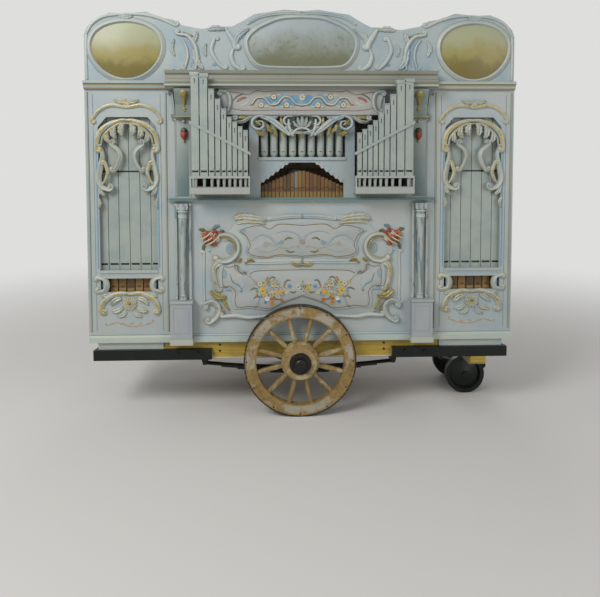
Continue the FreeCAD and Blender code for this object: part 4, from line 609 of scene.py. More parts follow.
# The brownish band at the chests' foot is gold-olive paint darkened with painted shade.
CHEST_PAINT = PaintedWood("pipe_chest_paint", rgb(154, 159, 153), rgb(142, 151, 152), bands=(
    Band(1.585, 1.5905, rgb(122, 108, 84)), Band(1.6335, 1.639, rgb(138, 143, 132))))
STRIP_WASH = PaintedField("strip_wash", rgb(148, 155, 150), rgb(124, 138, 136), rgb(96, 118, 116),
                          1.5, 2.1, 0.1)
NAME_SKY = PaintedWood("name_board_sky", rgb(84, 132, 160), rgb(146, 158, 164),
                       dust=rgb(150, 158, 160), cloud=11.0)
CARVED = Carving("carving_gilt", rgb(172, 176, 164), rgb(152, 164, 166))
CARVED_GOLD = Carving("carving_gold", rgb(154, 153, 122), rgb(148, 143, 104),
                      gold=rgb(152, 138, 78), cover=0.7)
CARVED_PALE = Carving("carving_pale", rgb(172, 178, 172), rgb(150, 165, 170),
                      gold=rgb(164, 158, 116), cover=0.16)
BRUSHWORK = Brushwork("painted_ornament")
FLUTE_STAIN = Brushwork("flute_stain", 0.45, 0.1)
MARBLE = Marbled("column_marbling", rgb(158, 166, 162), rgb(120, 136, 142), rgb(86, 98, 106))
BROWN_PIPE = GrainedWood("brown_flute_wood", rgb(128, 96, 42), rgb(76, 52, 20), Axis.Z, 0.3, 0.4)
CASE_WOOD = GrainedWood("back_board_wood", rgb(126, 100, 66), rgb(84, 60, 36), Axis.Z, 0.5, 0.1, roof=2.4305)
BELLOWS_WOOD = GrainedWood("bellows_wood", rgb(162, 133, 86), rgb(126, 95, 56), Axis.X, 0.5)
BEAM_WOOD = GrainedWood("beam_ochre", rgb(172, 146, 52), rgb(130, 102, 34), Axis.X, 0.42, 0.15,
                        rgb(160, 140, 82), 0.63)
FELLOE_WOOD = GrainedWood("felloe_wood", rgb(142, 117, 64), rgb(102, 79, 40), Axis.Y, 0.55, 0.0,
                          rgb(156, 152, 138), 0.46, blotch=5.0, ring=(0.323, 0.379))
SPOKE_WOOD = GrainedWood("spoke_wood", rgb(142, 120, 72), rgb(98, 76, 40), Axis.Z, 0.5, 0.0,
                         rgb(162, 156, 128), 0.54)
NAVE_WOOD = GrainedWood("nave_wood", rgb(150, 128, 80), rgb(108, 82, 46), Axis.Y, 0.5, 0.0,
                        rgb(168, 156, 120), 0.5)
GRIP_WOOD = GrainedWood("turned_grip_wood", rgb(138, 91, 47), rgb(96, 58, 28), Axis.Y, 0.32, 0.4)
BLACK_IRON = Iron("black_iron", rgb(12, 19, 16), rgb(124, 134, 126), 0.35, 0.36, 0.16, 0.68)
TYRE_IRON = Iron("tyre_wear", rgb(60, 54, 48), rgb(130, 130, 122), 0.7, 0.5, 0.5, 0.55)
HUB_IRON = Iron("hub_iron", rgb(34, 33, 31), rgb(120, 112, 96), 0.5, 0.4, 0.2, 0.64)
CAP_BRASS = Iron("cap_brass", rgb(162, 140, 83), rgb(192, 185, 139), 0.8, 0.3, 0.15, 0.5)
STEEL = Iron("oiled_steel", rgb(118, 119, 112), rgb(164, 169, 162), 0.9, 0.3, 0.15, 0.6)
RED_IRON = Iron("flywheel_paint", rgb(129, 32, 23), rgb(162, 112, 86), 0.15, 0.35, 0.1, 0.7)
LEATHER = Hide("bellows_leather", rgb(175, 156, 117), rgb(121, 99, 67))
BELT_HIDE = Hide("belt_leather", rgb(96, 62, 38), rgb(58, 36, 22))
FIELD = PaintedField("attic_field", rgb(150, 159, 160), rgb(132, 139, 131), rgb(108, 110, 84),
                     2.47, 2.84, 0.8)
OVAL_FIELD = PaintedField("oval_field", rgb(152, 154, 122), rgb(142, 132, 74), rgb(110, 98, 40),
                          2.42, 2.76, 0.25)

# Which finish each of the frame's nodes gets.
NODE_FINISHES: dict[str, Finish] = {name: finish for finish, names in (
    (ATTIC_PAINT, "attic_board"),
    (CARVED_PALE, "attic_frames carved_scrolls"),
    (BELLOWS_WOOD, "bellows_boards connecting_rod_front connecting_rod_rear feeder_board_front "
                   "feeder_board_rear reservoir_top wind_chest"),
    (LEATHER, "bellows_folds"),
    (STEEL, "book_roller crankshaft door_hinges key_frame key_frame_lid"),
    (BROWN_PIPE, "brown_flute_pipes"),
    (CASE_WOOD, "case_boards"),
    (CASE_PAINT, "case_sides rear_door_left rear_door_right rear_lower_door side_cabinets"),
    (BEAM_WOOD, "chassis_beams truck_block"),
    (BLACK_IRON, "chassis_bolts crank_bearings end_channels leaf_springs main_axle spring_irons "
                 "truck_irons truck_wheel_front truck_wheel_rear turntable_irons"),
    (CONSOLE_PAINT, "consoles"),
    (GRIP_WOOD, "crank_grip"),
    (LOWER_PAINT, "facade_lower_panel"),
    (UPPER_PAINT, "facade_upper_frame"),
    (RED_IRON, "flywheel"),
    (CHEST_PAINT, "front_pipe_chests"),
    (PIPE_PAINT, "front_pipes round_pipes wing_pipes"),
    (GROUND_PAINT, "lower_cartouche"),
    (CORNICE_PAINT, "main_cornice"),
    (MARBLE, "marbled_columns"),
    (NAME_PAINT, "name_board"),
    (PEDESTAL_PAINT, "pedestals"),
    (WING_PAINT, "wing_panels"),
    (TYRE_IRON, "front_wheel_tyre rear_wheel_tyre"),
    (FELLOE_WOOD, "front_wheel_felloes rear_wheel_felloes"),
    (SPOKE_WOOD, "front_wheel_spokes rear_wheel_spokes"),
    (NAVE_WOOD, "front_wheel_nave rear_wheel_nave"),
    (HUB_IRON, "front_wheel_hub_irons rear_wheel_hub_irons"),
) for name in names.split()}


# ---- surfaces ----


class Section(Enum):
    """The cross-sections that a carver's mouldings have."""

    ROUND = "half round"
    SCOOP = "lip with a hollow beside it"
    LEAF = "two humps beside a vein"
    REED = "three reeds"
    FLAT = "flat ribbon with eased edges"

    def height(self, u: Array) -> Array:
        """Height across the section as a share of its rise.

        ROUND is half a circle. SCOOP is half a circle times a wave that sinks on one side. LEAF is a
        flat-topped hump with a dip at its middle. REED is half a circle with three ripples. FLAT
        rises at its edges only.

        Args:
            u: Place across the section, from -1 to 1.

        Returns:
            The height from 0 to 1 at each place.
        """
        bow = np.sqrt(np.clip(1.0 - u * u, 0.0, 1.0))
        if self is Section.SCOOP:
            return bow * (0.6 + 0.4 * np.sin(2.8 * u))
        if self is Section.LEAF:
            return (1.0 - u ** 4) * (0.55 + 0.45 * np.abs(np.sin(math.pi * u)))
        if self is Section.REED:
            return bow * (0.78 + 0.22 * np.cos(3.0 * math.pi * u))
        if self is Section.FLAT:
            return np.clip(5.0 * (1.0 - np.abs(u)), 0.0, 1.0)
        return bow


ROUND, SCOOP, LEAF, REED, FLAT = Section


def spline(points: Run, per_span: int = 8) -> Array:
    """Run a smooth curve through points.

    Each span is a cubic whose slopes at its ends are half the step between the points on either side.

    Args:
        points: The points to pass, as (x, z).
        per_span: Samples in each span.

    Returns:
        The samples as rows of (x, z).
    """
    p = np.asarray(points, float)
    p = np.vstack([2 * p[0] - p[1], p, 2 * p[-1] - p[-2]])
    t = np.linspace(0.0, 1.0, per_span, endpoint=False)[:, None]
    a, b, c, d = p[:-3, None], p[1:-2, None], p[2:-1, None], p[3:, None]
    square, cube = 2 * a - 5 * b + 4 * c - d, 3 * b - a - 3 * c + d
    curve = 0.5 * (2 * b + (c - a) * t + square * t ** 2 + cube * t ** 3)
    return np.vstack([curve.reshape(-1, p.shape[1]), p[-2]])


def both_halves(left: Array) -> Array:
    """Close a left half, which runs from top middle to bottom middle, with its mirror image."""
    return np.vstack([left, (left * (-1.0, 1.0))[::-1][1:-1]])


def oblong(left: float, right: float, low: float, high: float) -> Array:
    """Give a rectangle's corners as rows of (x, z)."""
    return np.array([(left, low), (right, low), (right, high), (left, high)], float)


def upright(x: float, *heights: float) -> Array:
    """Give the points of an upright line as rows of (x, z)."""
    return np.array([(x, z) for z in heights], float)


@dataclass(frozen=True)
class Curl:
    """A spiral end: which way it turns (1 or -1), its first radius and how many turns it makes."""

    hand: int
    size: float
    turns: float = 1.15

    def path(self, start: Array, heading: float) -> Array:
        """Wind the spiral from a point.

        The radius falls by a fixed share for each turn, and each step is radius times angle along the
        heading, which turns by that angle.

        Args:
            start: The point it leaves.
            heading: The direction it leaves in, in radians from +X towards +Z.

        Returns:
            The spiral's points, without the start.
        """
        angle = np.linspace(0.0, 2.0 * math.pi * self.turns, 34)
        radius = self.size * np.exp(-0.27 * angle)
        step = radius * (angle[1] - angle[0])
        way = heading + self.hand * angle
        return start + np.cumsum(step[:, None] * np.stack([np.cos(way), np.sin(way)], 1), 0)


class Relief:
    """Surfaces on the organ's front, gathered in millimetres and then made one mesh."""

    def __init__(self, name: str) -> None:
        """Start an empty relief.

        Args:
            name: The piece's name.
        """
        self.name = name
        self.points: list[Array] = []
        self.crests: list[Array] = []
        self.tints: list[Array] = []
        self.faces: list[Array] = []
        self.count = 0

    def grid(self, surface: Array, crest: Array | float, tint: Colour,
             facing: tuple[float, float, float] | None = (0.0, -1.0, 0.0), wrap: bool = False) -> Relief:
        """Add a surface given as rows and columns of points.

        Args:
            surface: Points as an array of rows, columns and x, y, z.
            crest: How much each point stands out, from 0 to 1.
            tint: The surface's own colour.
            facing: The side it shows, or None for away from its middle.
            wrap: Whether the last column joins the first.

        Returns:
            The relief itself.
        """
        rows, columns = surface.shape[:2]
        flat = surface.reshape(-1, 3)
        index = np.arange(rows * columns).reshape(rows, columns)
        if wrap:
            index = np.hstack([index, index[:, :1]])
        quads = np.stack([index[:-1, :-1], index[:-1, 1:], index[1:, 1:], index[1:, :-1]], -1)
        quads = quads.reshape(-1, 4)
        corner = flat[quads]
        normal = np.cross(corner[:, 2] - corner[:, 0], corner[:, 3] - corner[:, 1])
        side = corner.mean(1) - flat.mean(0) if facing is None else np.asarray(facing)
        if float(np.sum(normal * side)) < 0.0:
            quads = quads[:, ::-1]
        self.faces.append(quads + self.count)
        self.points.append(flat)
        self.crests.append(np.broadcast_to(np.asarray(crest, float).ravel(), (len(flat),)))
        self.tints.append(np.broadcast_to(np.asarray(tint, float), (len(flat), 4)))
        self.count += len(flat)
        return self

    def sweep(self, path: Array, width: Array | float, rise: Array | float, face: float,
              section: Section = ROUND, tint: Colour = WHITE, across: int = 9,
              closed: bool = False, crest: float = 1.0) -> None:
        """Carry a section along a path on the front.

        A point is the path's point plus its sideways normal times half the width times its place
        across, and it stands out from the face by the rise times the section's height there.

        Args:
            path: Rows of (x, z).
            width: Full width at each row.
            rise: How far the section stands out at each row.
            face: The Y of the face that carries it.
            section: The cross-section.
            tint: Its own colour.
            across: Points across the section.
            closed: Whether the path is a loop.
            crest: The crest value at the section's top.
        """
        count = len(path)
        if closed:
            path = np.vstack([path, path[:1]])
            width = np.append(np.broadcast_to(width, count), np.ravel(width)[0])
            rise = np.append(np.broadcast_to(rise, count), np.ravel(rise)[0])
            ring = np.vstack([path[-2], path, path[1]])
            along = ring[2:] - ring[:-2]
        else:
            along = np.gradient(path, axis=0)
        along = along / np.maximum(np.linalg.norm(along, axis=1, keepdims=True), 1e-9)
        side = np.stack([-along[:, 1], along[:, 0]], 1)
        u = np.linspace(-1.0, 1.0, across)
        half = np.broadcast_to(width, len(path))[:, None] / 2.0
        flat = path[:, None, :] + side[:, None, :] * (half * u)[:, :, None]
        high = section.height(u)[None, :] * np.broadcast_to(rise, len(path))[:, None]
        surface = np.stack([flat[..., 0], face - high, flat[..., 1]], -1)
        top = np.broadcast_to(section.height(u) * crest, surface.shape[:2])
        self.grid(surface, top, tint)

    def scroll(self, stroke: Stroke, face: float) -> None:
        """Carve a scroll: a smooth run that swells at its middle and may curl at its ends.

        The width is greatest at the middle of the path and falls as half a sine wave to the thin
        share at its ends. A small boss closes each end.

        Args:
            stroke: The run with its sizes.
            face: The Y of the face that carries it.
        """
        path, thin = spline(stroke.points), stroke.thin
        if stroke.tail is not None:
            ahead = path[-1] - path[-2]
            path = np.vstack([path, stroke.tail.path(path[-1], math.atan2(ahead[1], ahead[0]))])
        if stroke.head is not None:
            back = path[0] - path[1]
            path = np.vstack([stroke.head.path(path[0], math.atan2(back[1], back[0]))[::-1], path])
        step = np.linalg.norm(np.diff(path, axis=0), axis=1)
        t = np.concatenate([[0.0], np.cumsum(step)]) / max(float(step.sum()), 1e-9)
        swell = thin + (1.0 - thin) * np.sin(math.pi * np.clip(t, 0.0, 1.0)) ** 0.8
        self.sweep(path, stroke.width * swell, stroke.rise * (0.45 + 0.55 * swell), face, stroke.section,
                   stroke.tint, crest=stroke.crest)
        for curl, end in ((stroke.head, path[0]), (stroke.tail, path[-1])):
            size = max(stroke.width * thin * 0.62, curl.size * 0.2 if curl else 0.0)
            self.dome(tuple(end), size, size, face, stroke.rise * 0.8, stroke.tint, stroke.crest)

    def dome(self, centre: Point, half_x: float, half_z: float, face: float, rise: float,
             tint: Colour = WHITE, crest: float = 1.0, spokes: int = 16) -> Relief:
        """Add a low boss: an ellipse that stands out as half a circle does.

        Args:
            centre: Its middle, as (x, z).
            half_x: Half its width.
            half_z: Half its height.
            face: The Y of the face that carries it.
            rise: How far its middle stands out.
            tint: Its own colour.
            crest: The crest value at its middle.
            spokes: Points round it.

        Returns:
            The relief itself.
        """
        r = np.linspace(0.02, 1.0, 6)[:, None]
        a = np.linspace(0.0, 2.0 * math.pi, spokes, endpoint=False)[None, :]
        x, z = centre[0] + half_x * r * np.cos(a), centre[1] + half_z * r * np.sin(a)
        high = np.sqrt(np.clip(1.0 - r * r, 0.0, 1.0)) + 0.0 * a
        surface = np.stack([x, face - rise * high, z], -1)
        return self.grid(surface, high * crest, tint, wrap=True)

    def leaf(self, points: Run, width: float, rise: float, face: float, lobes: int, tint: Colour,
             crest: float = 1.0) -> None:
        """Carve a leaf with lobed edges along a run.

        The width is a sine wave over the leaf's length to a low power, times ripples, one for each
        lobe, and the leaf lifts towards its tip.

        Args:
            points: The midrib, from stem to tip.
            width: Greatest width.
            rise: Rise at its fullest.
            face: The Y of the face that carries it.
            lobes: Number of lobes.
            tint: Its own colour.
            crest: The crest value at its humps.
        """
        path = spline(points, 12)
        t = np.linspace(0.0, 1.0, len(path))
        body = np.sin(math.pi * np.clip(0.06 + 0.93 * t, 0.0, 1.0)) ** 0.6
        ripple = 0.74 + 0.26 * np.abs(np.sin(math.pi * lobes * t))
        lift = rise * (0.5 + 0.5 * body) * (0.8 + 0.35 * t)
        self.sweep(path, width * body * ripple, lift, face, LEAF, tint, 11, crest=crest)

    def petals(self, centre: Point, radius: float, count: int, face: float, rise: float, tint: Colour,
               turn: float, heart: Colour | None = None) -> None:
        """Add a ring of petals, each a rounded blade that lifts towards its end.

        A petal's half width is a sine wave of its length to a low power, and its blade starts at 0.12
        of the radius. Each petal is the same blade turned by its own angle.

        Args:
            centre: The flower's middle, as (x, z).
            radius: Length of a petal from the middle.
            count: Number of petals.
            face: The Y of the face that carries it.
            rise: How far the petals lift.
            tint: The petals' colour.
            turn: Turn of the first petal in radians.
            heart: Colour of the middle, if it has one.
        """
        t = np.linspace(0.0, 1.0, 7)[:, None]
        u = np.linspace(-1.0, 1.0, 5)[None, :]
        across = radius * math.sin(math.pi / count) * np.sin(math.pi * (0.12 + 0.86 * t)) ** 0.55 * u
        along = radius * (0.12 + 0.88 * t) * (1.0 - 0.06 * u * u)
        lift = rise * (0.25 + 0.75 * t) * (1.0 - 0.45 * u * u) * (1.0 - 0.25 * t ** 6)
        crest = 0.25 + 0.75 * (1.0 - u * u) * np.ones_like(t)
        for k in range(count):
            angle = turn + 2.0 * math.pi * k / count
            c, s = math.cos(angle), math.sin(angle)
            x, z = centre[0] + c * along - s * across, centre[1] + s * along + c * across
            self.grid(np.stack([x, face - lift, z], -1), crest, tint)
        if heart is not None:
            self.dome(centre, radius * 0.26, radius * 0.26, face - rise * 0.3, rise * 0.9, heart, spokes=10)

    def plate(self, outline: Array, back: float, face: float, ease: float, tint: Colour = WHITE) -> Relief:
        """Add a board with eased edges from a closed outline.

        Four rings follow the outline: at the back, just behind the face, and two that are drawn in
        along the outline's normals by the easing, the last on the face; one polygon closes the front.

        Args:
            outline: Rows of (x, z) round the board.
            back: The Y of its back.
            face: The Y of its face.
            ease: Radius of the eased edge.
            tint: Its own colour.

        Returns:
            The relief itself.
        """
        ring = np.vstack([outline[-1], outline, outline[0]])
        along = ring[2:] - ring[:-2]
        along = along / np.maximum(np.linalg.norm(along, axis=1, keepdims=True), 1e-9)
        x, z = outline.T
        area = float(np.sum(x * np.roll(z, -1) - np.roll(x, -1) * z))
        inward = np.stack([-along[:, 1], along[:, 0]], 1) * math.copysign(1.0, area)
        levels = ((0.0, back), (0.0, face + ease), (0.3 * ease, face + 0.3 * ease), (ease, face))
        rings = [np.insert(outline + inward * into, 1, y, axis=1) for into, y in levels]
        first = self.count
        self.grid(np.stack(rings), 0.6, tint, None, True)
        count = len(outline)
        front = np.arange(count) + first + 3 * count
        self.faces.append((front if area > 0.0 else front[::-1])[None, :])
        return self

    def turned(self, profile: Run, x: float, y: float, tint: Colour = WHITE, spokes: int = 20) -> None:
        """Turn a profile about an upright axis.

        Args:
            profile: Points as (z, radius) from the bottom up, joined by a smooth curve.
            x: The axis's X.
            y: The axis's Y.
            tint: Its own colour.
            spokes: Points round it.
        """
        line = spline(profile, 5) if len(profile) > 2 else np.asarray(profile, float)
        a = np.linspace(0.0, 2.0 * math.pi, spokes, endpoint=False)[None, :]
        radius = np.maximum(line[:, 1], 0.0)[:, None]
        surface = np.stack([x + radius * np.cos(a), y + radius * np.sin(a), line[:, :1] + 0.0 * a], -1)
        self.grid(surface, 1.0, tint, None, True)

    def mirrored(self, about: float = 0.0) -> Relief:
        """Add the mirror image of everything so far across an upright plane.

        Args:
            about: The plane's X.

        Returns:
            The relief itself.
        """
        flip = np.array([-1.0, 1.0, 1.0])
        shift = np.array([2.0 * about, 0.0, 0.0])
        first = self.count
        self.points += [points * flip + shift for points in self.points]
        self.crests += list(self.crests)
        self.tints += list(self.tints)
        self.faces += [faces[:, ::-1] + first for faces in self.faces]
        self.count *= 2
        return self

    def make(self, finish: Finish, body: str = "cart", slot: str = "carving_paint",
             replaces: tuple[str, ...] = (), sharp: float = 40.0) -> bpy.types.Object:
        """Turn the gathered surfaces into one object that rides on a body.

        Args:
            finish: The finish it gets.
            body: The body it moves with, or nothing for a piece on no body.
            slot: A material slot's name; not used.
            replaces: The frame's nodes that it stands for.
            sharp: The angle between faces, in degrees, past which an edge stays crisp.

        Returns:
            The object.
        """
        mesh = bpy.data.meshes.new(self.name)
        points = (np.vstack(self.points) * MM).astype(np.float32)
        loops = np.concatenate([faces.ravel() for faces in self.faces]).astype(np.int32)
        sizes = np.concatenate([np.full(len(faces), faces.shape[1]) for faces in self.faces])
        starts = np.concatenate([[0], np.cumsum(sizes)[:-1]]).astype(np.int32)
        mesh.vertices.add(len(points))
        mesh.vertices.foreach_set("co", points.ravel())
        mesh.loops.add(len(loops))
        mesh.loops.foreach_set("vertex_index", loops)
        mesh.polygons.add(len(sizes))
        mesh.polygons.foreach_set("loop_start", starts)
        mesh.update(calc_edges=True)
        crest = mesh.attributes.new("crest", "FLOAT", "POINT")
        crest.data.foreach_set("value", np.concatenate(self.crests).astype(np.float32))
        tint = mesh.attributes.new("tint", "FLOAT_COLOR", "POINT")
        tint.data.foreach_set("color", np.vstack(self.tints).astype(np.float32).ravel())
        mesh.validate()
        mesh.shade_smooth()
        mesh.set_sharp_from_angle(angle=math.radians(sharp))
        mesh.materials.append(finish.material())
        piece = bpy.data.objects.new(self.name, mesh)
        bpy.context.scene.collection.objects.link(piece)
        if body:
            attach(piece, body)
        if replaces:
            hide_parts(*replaces)
        LOG.info("%s: %d points on %s", self.name, self.count, body or "two bodies")
        return piece


@dataclass(frozen=True)
class Stroke:
    """One carved or painted stroke: a scroll, or a leaf when it has lobes.

    First come its points, its full width, how far it stands out and its number of lobes.
    """

    points: Run
    width: float
    rise: float
    lobes: int = 0
    tint: Colour = WHITE
    section: Section = ROUND
    head: Curl | None = None
    tail: Curl | None = None
    thin: float = 0.45
    crest: float = 1.0

    def carve(self, relief: Relief, face: float) -> None:
        """Add the stroke to a relief.

        Args:
            relief: The relief.
            face: The Y of the face that carries it.
        """
        if self.lobes:
            relief.leaf(self.points, self.width, self.rise, face, self.lobes, self.tint, self.crest)
        else:
            relief.scroll(self, face)


@dataclass(frozen=True)
class Bloom:
    """A flower: its middle, size, petals and colours."""

    centre: Point
    radius: float
    tint: Colour
    heart: Colour = YELLOW
    count: int = 5
    turn: float = 0.3

    def carve(self, relief: Relief, face: float, rise: float) -> None:
        """Add an outer and an inner ring of petals and the heart.

        Args:
            relief: The relief that takes them.
            face: The Y of the face that carries it.
            rise: How far its petals lift.
        """
        relief.petals(self.centre, self.radius, self.count, face, rise, self.tint, self.turn)
        relief.petals(self.centre, 0.62 * self.radius, self.count, face - 0.4 * rise, rise, self.tint,
                      self.turn + math.pi / self.count, self.heart)


def carve(relief: Relief, face: float, *strokes: Stroke) -> Relief:
    """Add strokes to a relief.

    Args:
        relief: The relief.
        face: The Y of the face that carries them.
        strokes: The strokes.

    Returns:
        The relief itself.
    """
    for stroke in strokes:
        stroke.carve(relief, face)
    return relief


def half_turned(relief: Relief, x: float = 0.0) -> Relief:
    """Turn a relief half round an upright axis at x, so that it faces back."""
    relief.points = [points * (-1.0, -1.0, 1.0) + (2.0 * x, 0.0, 0.0) for points in relief.points]
    return relief


@dataclass
class Assembly:
    """A part of the organ that is dressed with its own pieces."""

    pieces: list[bpy.types.Object] = field(default_factory=list)

    def build(self) -> None:
        """Build the pieces."""
        raise NotImplementedError

    def add(self, relief: Relief, finish: Finish, **rest: str | float | tuple[str, ...]) -> bpy.types.Object:
        """Make a relief's object, with what else Relief.make takes, and keep it."""
        self.pieces.append(relief.make(finish, **rest))
        return self.pieces[-1]


@dataclass
class Cartouche(Assembly):
    """The carved frame on the lower panel with its two painted plates, roses and flowers."""

    upper: Run = (
        (0, 1367), (-17, 1368), (-173, 1377), (-245, 1340), (-307, 1366), (-386, 1358), (-462, 1326),
        (-420, 1287), (-391, 1216), (-407, 1168), (-380, 1138), (-309, 1124), (-253, 1121), (-174, 1139),
        (0, 1126))
    lower: Run = (
        (0, 1046), (-325, 1040), (-396, 1017), (-444, 1011), (-483, 1047), (-490, 1087), (-546, 1068),
        (-592, 1066), (-598, 955), (-586, 915), (-547, 920), (-502, 874), (-508, 810), (-489, 756),
        (-390, 761), (-247, 745), (-152, 790), (0, 845))
    ground: Run = (
        (0, 1429), (-406, 1424), (-476, 1376), (-524, 1317), (-600, 1280), (-655, 1183), (-630, 1120),
        (-616, 1063), (-620, 960), (-590, 870), (-560, 780), (-511, 720), (-406, 683), (0, 683))

    def build(self) -> None:
        """Build the boards, the carved mouldings, the roses and the painted flowers."""
        self.boards()
        self.mouldings()
        self.roses()
        self.flowers()

    def boards(self) -> None:
        """Build the ground board and both plates, with their scalloped border lines."""
        ground = both_halves(spline(self.ground, 4))
        relief = Relief("cartouche_ground").plate(ground, FRONT + 0.5, -504, 4.0)
        self.add(relief, GROUND_PAINT, replaces=("lower_cartouche",))
        plates, lines = Relief("cartouche_plates"), Relief("cartouche_lines")
        for outline, middle in ((self.upper, 1246), (self.lower, 935)):
            shape = both_halves(spline(outline, 5))
            plates.plate(shape, -503, PLATE_FACE, 3.5)
            for inset, width, tint in ((0.955, 5.0, LINE), (0.93, 1.8, GOLD)):
                line = (shape - (0.0, middle)) * (inset, inset - 0.03) + (0.0, middle)
                lines.sweep(line, width, 0.9, PLATE_FACE, FLAT, tint, 4, True)
        for x, z, half, high in ((-424, 1318, 20, 15), (-395, 1180, 9, 30), (-560, 1010, 20, 34), (-536, 900, 24, 10)):
            for side in (-1, 1):
                lines.dome((side * x, z), half, high, PLATE_FACE, 0.8, rgb(126, 149, 160))
        self.add(plates, PLATE_PAINT, replaces=("lower_cartouche",))
        self.add(lines, BRUSHWORK)

    def mouldings(self) -> None:
        """Carve the big scrolls, leaves and bars of the frame on both sides."""
        scrolls = carve(
            Relief("cartouche_scrolls"), -503.5,
            Stroke(((-618, 1256), (-580, 1282), (-520, 1278), (-474, 1236), (-470, 1172), (-508, 1120), (-566, 1104),
                    (-620, 1124)), 58, 26, section=SCOOP, thin=0.65, crest=0.4),
            Stroke(((-490, 1408), (-430, 1420), (-340, 1412), (-252, 1396)), 60, 20, 6),
            Stroke(((-470, 1370), (-400, 1388), (-300, 1382), (-262, 1368)), 40, 14, 5),
            Stroke(((-452, 1392), (-446, 1412), (-424, 1426)), 34, 15, 3),
            Stroke(((-396, 1400), (-380, 1420), (-350, 1428)), 34, 15, 3),
            Stroke(((-689, 796), (-650, 806), (-611, 780), (-603, 732), (-625, 690), (-659, 664)), 42, 20,
                   head=Curl(1, 22, 1.3), tail=Curl(-1, 24, 1.3), section=SCOOP),
            Stroke(((-612, 1096), (-634, 1040), (-626, 960), (-604, 900)), 35, 17, head=Curl(-1, 18, 1.3),
                   tail=Curl(1, 16, 1.3)),
            Stroke(((-110, 716), (-60, 756), (0, 770)), 48, 17, 3))
        bars = carve(
            Relief("cartouche_bars"), -503.5,
            Stroke(((-236, 1404), (-150, 1416), (-80, 1422), (0, 1422)), 32, 16, thin=0.8, section=REED),
            Stroke(((-396, 1094), (-300, 1096), (-160, 1098), (0, 1100)), 43, 15, thin=0.8, section=REED),
            Stroke(((-572, 700), (-480, 706), (-400, 692), (-311, 694)), 32, 14, head=Curl(-1, 19, 1.3)),
            Stroke(((-316, 694), (-200, 704), (-110, 722), (0, 730)), 29, 13, thin=0.7, section=REED),
            Stroke(((-560, 1092), (-604, 1080), (-640, 1040)), 48, 17, 3))
        side = Stroke(((-705, 796), (-707, 980), (-704, 1160)), 21, 10, thin=0.9, head=Curl(-1, 16, 1.3),
                      tail=Curl(1, 16, 1.3))
        side.carve(bars, FRONT + 0.5)
        gilding = carve(
            Relief("cartouche_gilding"), -504.5,
            Stroke(((-660, 888), (-604, 846), (-545, 845)), 56, 22, 3),
            Stroke(((-616, 770), (-588, 744), (-560, 748)), 26, 12, 3),
            Stroke(((-486, 1112), (-460, 1104), (-436, 1122)), 28, 16, 3),
            Stroke(((-412, 1084), (-378, 1108), (-338, 1100)), 34, 20, 4),
            Stroke(((-560, 830), (-548, 780), (-522, 742)), 30, 14, 3),
            Stroke(((-90, 1098), (-50, 1076), (0, 1066)), 34, 14, 3))
        Stroke(((-574, 1268), (-516, 1262), (-484, 1228), (-480, 1180)), 11, 8, thin=0.5).carve(gilding, -523)
        for relief, finish in ((scrolls, CARVED), (bars, CARVED_PALE), (gilding, CARVED_GOLD)):
            self.add(relief.mirrored(), finish, replaces=("lower_cartouche",))

    def roses(self) -> None:
        """Carve a big ragged rose with cream streaks and leaves at each upper corner.

        The petals lie round the middle by the golden angle and get shorter from the rim inwards.
        """
        relief, centre = Relief("cartouche_roses"), np.array([-651, 1270])
        tints = (RED, ORANGE, RED, rgb(128, 46, 32), ORANGE, CREAM)
        for k in range(17):
            turn, reach = 2.4 * k + 0.3, 82 - 3.6 * k
            way = np.array([math.cos(turn), 0.9 * math.sin(turn)])
            run = [centre + way * reach * share + (4.0 * share, 5.0 * share) for share in (0.1, 0.6, 1.0)]
            relief.leaf(run, 0.62 * reach + 10, 11, FRONT - 14 - 1.6 * k, 2, tints[k % len(tints)])
        for shift in (-22, 0.0, 20):
            run = ((-708 + shift, 1238 - shift), (-656 + shift, 1264 - shift), (-616 + shift, 1304 - shift))
            Stroke(run, 11, 6, 0, CREAM, thin=0.3).carve(relief, FRONT - 42)
        relief.dome((-520, 1190), 28, 40, -504.2, 1.0, rgb(128, 144, 150))
        for points, tint in ((((-690, 1310), (-712, 1326), (-742, 1330)), LEAF_GREEN),
                             (((-640, 1325), (-620, 1350), (-590, 1356)), TEAL),
                             (((-690, 1230), (-706, 1206), (-712, 1176)), LEAF_GREEN),
                             (((-640, 1214), (-652, 1190), (-676, 1172)), rgb(164, 182, 180)),
                             (((-604, 1300), (-580, 1316), (-556, 1316)), LEAF_GREEN)):
            relief.leaf(points, 30, 11, FRONT, 3, tint)
        self.add(relief.mirrored(), BRUSHWORK)

